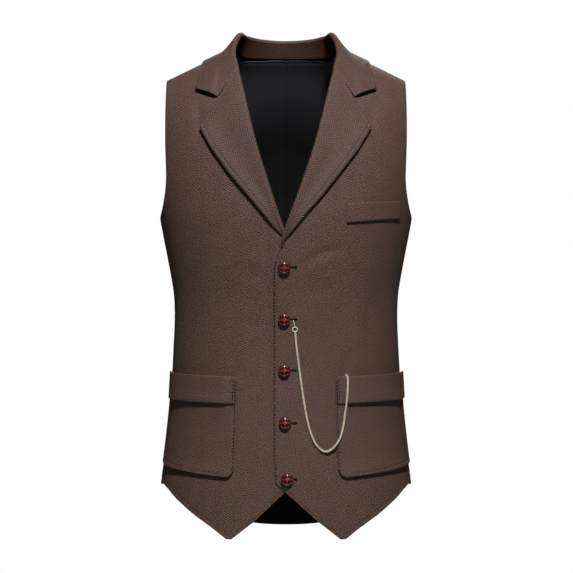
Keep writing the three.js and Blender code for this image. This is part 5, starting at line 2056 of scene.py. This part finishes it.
@dataclass(frozen=True)
class Studio:
    """Camera, lights and floor."""

    camera_m: tuple[float, float, float] = (0.0007, -3.3, -0.3275)
    frame_width_m: float = 0.7907
    sensor_mm: float = 36.0
    floor_z_m: float = -1.45
    floor_half_m: float = 1.3

    def camera(self) -> None:
        """Puts a level camera in front of the garment."""
        data = bpy.data.cameras.new("camera")
        data.sensor_width = self.sensor_mm
        data.lens = self.sensor_mm * -self.camera_m[1] / self.frame_width_m
        data.clip_start = 0.1
        data.clip_end = 60
        camera = bpy.data.objects.new("camera", data)
        camera.location = self.camera_m
        camera.rotation_euler = (math.radians(90), 0, 0)
        bpy.context.scene.collection.objects.link(camera)
        bpy.context.scene.camera = camera

    def light(self, name: str, place: Sequence[float], aim: Sequence[float], size: float, power: float) -> None:
        """Adds a soft square light."""
        data = bpy.data.lights.new(name, "AREA")
        data.size = size
        data.energy = power
        lamp = bpy.data.objects.new(name, data)
        lamp.location = place
        lamp.rotation_mode = "QUATERNION"
        lamp.rotation_quaternion = (Vector(aim) - Vector(place)).to_track_quat("-Z", "Y")
        bpy.context.scene.collection.objects.link(lamp)

    def floor(self) -> None:
        """Lays a plain pale floor."""
        h = self.floor_half_m
        verts = np.array([[-h, -h, 0], [h, -h, 0], [h, h, 0], [-h, h, 0]]) / MM
        verts[:, 2] = self.floor_z_m / MM
        graph = Graph("pale_floor", Base_Color=(0.8, 0.8, 0.79, 1), Roughness=0.85)
        tone = graph.noise(graph.object_place(), 3.0, 2.0, 0.5)
        graph.link("Base Color", graph.mix(tone, (0.78, 0.78, 0.77, 1), (0.82, 0.82, 0.81, 1)))
        floor = make_object("floor", MeshData(verts, np.array([[0, 1, 2, 3]]), {}), [graph.material])

    def world(self, seen: float, given: float) -> None:
        """A white surround, seen brighter than the light that it gives."""
        world = bpy.data.worlds.new("surround")
        bpy.context.scene.world = world
        world.use_nodes = True
        tree = world.node_tree
        tree.nodes.clear()
        rays = tree.nodes.new("ShaderNodeLightPath")
        level = tree.nodes.new("ShaderNodeMapRange")
        level.inputs["To Min"].default_value = given
        level.inputs["To Max"].default_value = seen
        shade = tree.nodes.new("ShaderNodeBackground")
        shade.inputs["Color"].default_value = (1, 1, 1, 1)
        out = tree.nodes.new("ShaderNodeOutputWorld")
        tree.links.new(rays.outputs["Is Camera Ray"], level.inputs["Value"])
        tree.links.new(level.outputs[0], shade.inputs["Strength"])
        tree.links.new(shade.outputs[0], out.inputs["Surface"])

    def make(self) -> None:
        """Sets up the whole studio."""
        scene = bpy.context.scene
        scene.view_settings.view_transform = "Standard"
        scene.view_settings.look = "None"
        scene.view_settings.exposure = 0.0
        self.camera()
        middle = (0.0, 0.0, -0.3)
        self.light("key", (0.22, -2.12, 2.0), middle, 0.34, 97)
        self.light("back", (0.3, 2.4, 1.3), middle, 1.4, 38)
        self.world(1.0, 0.015)
        self.floor()


def main() -> None:
    """Builds the waistcoat piece by piece, then the studio."""
    logging.basicConfig(level=logging.INFO, format="%(name)s: %(message)s")
    wardrobe = Wardrobe()
    stitching = Stitching("topstitching")
    edge_stitching = Stitching("edge_stitching", length=3.0, gap=1.5, radius=0.66)
    kit = wardrobe, stitching, edge_stitching
    PocketChain(wardrobe).make()
    for side in Side:
        FrontPanel(*kit, side=side).make()
        BackPanel(*kit, side=side).make()
        BackPanel(*kit, side=side, lining=True).make()
        Lapel(*kit, side=side).make()
        CuffedPocket(*kit, side=side).make()
        log.info("%s side made", side.value)
    Collar(*kit).make()
    BreastWelt(*kit).make()
    for number, place in enumerate(BUTTONS, 1):
        LeatherButton(wardrobe).make(number, place)
    Buttonhole(wardrobe).make_all()
    stitching.make(wardrobe.thread, Slot.WOOL)
    # the edge stitches are near-black, partly standing for painted shade along the edges
    edge_stitching.make(wardrobe.painted_shade_thread, Slot.WOOL)
    Studio().make()


if __name__ == "__main__":
    main()
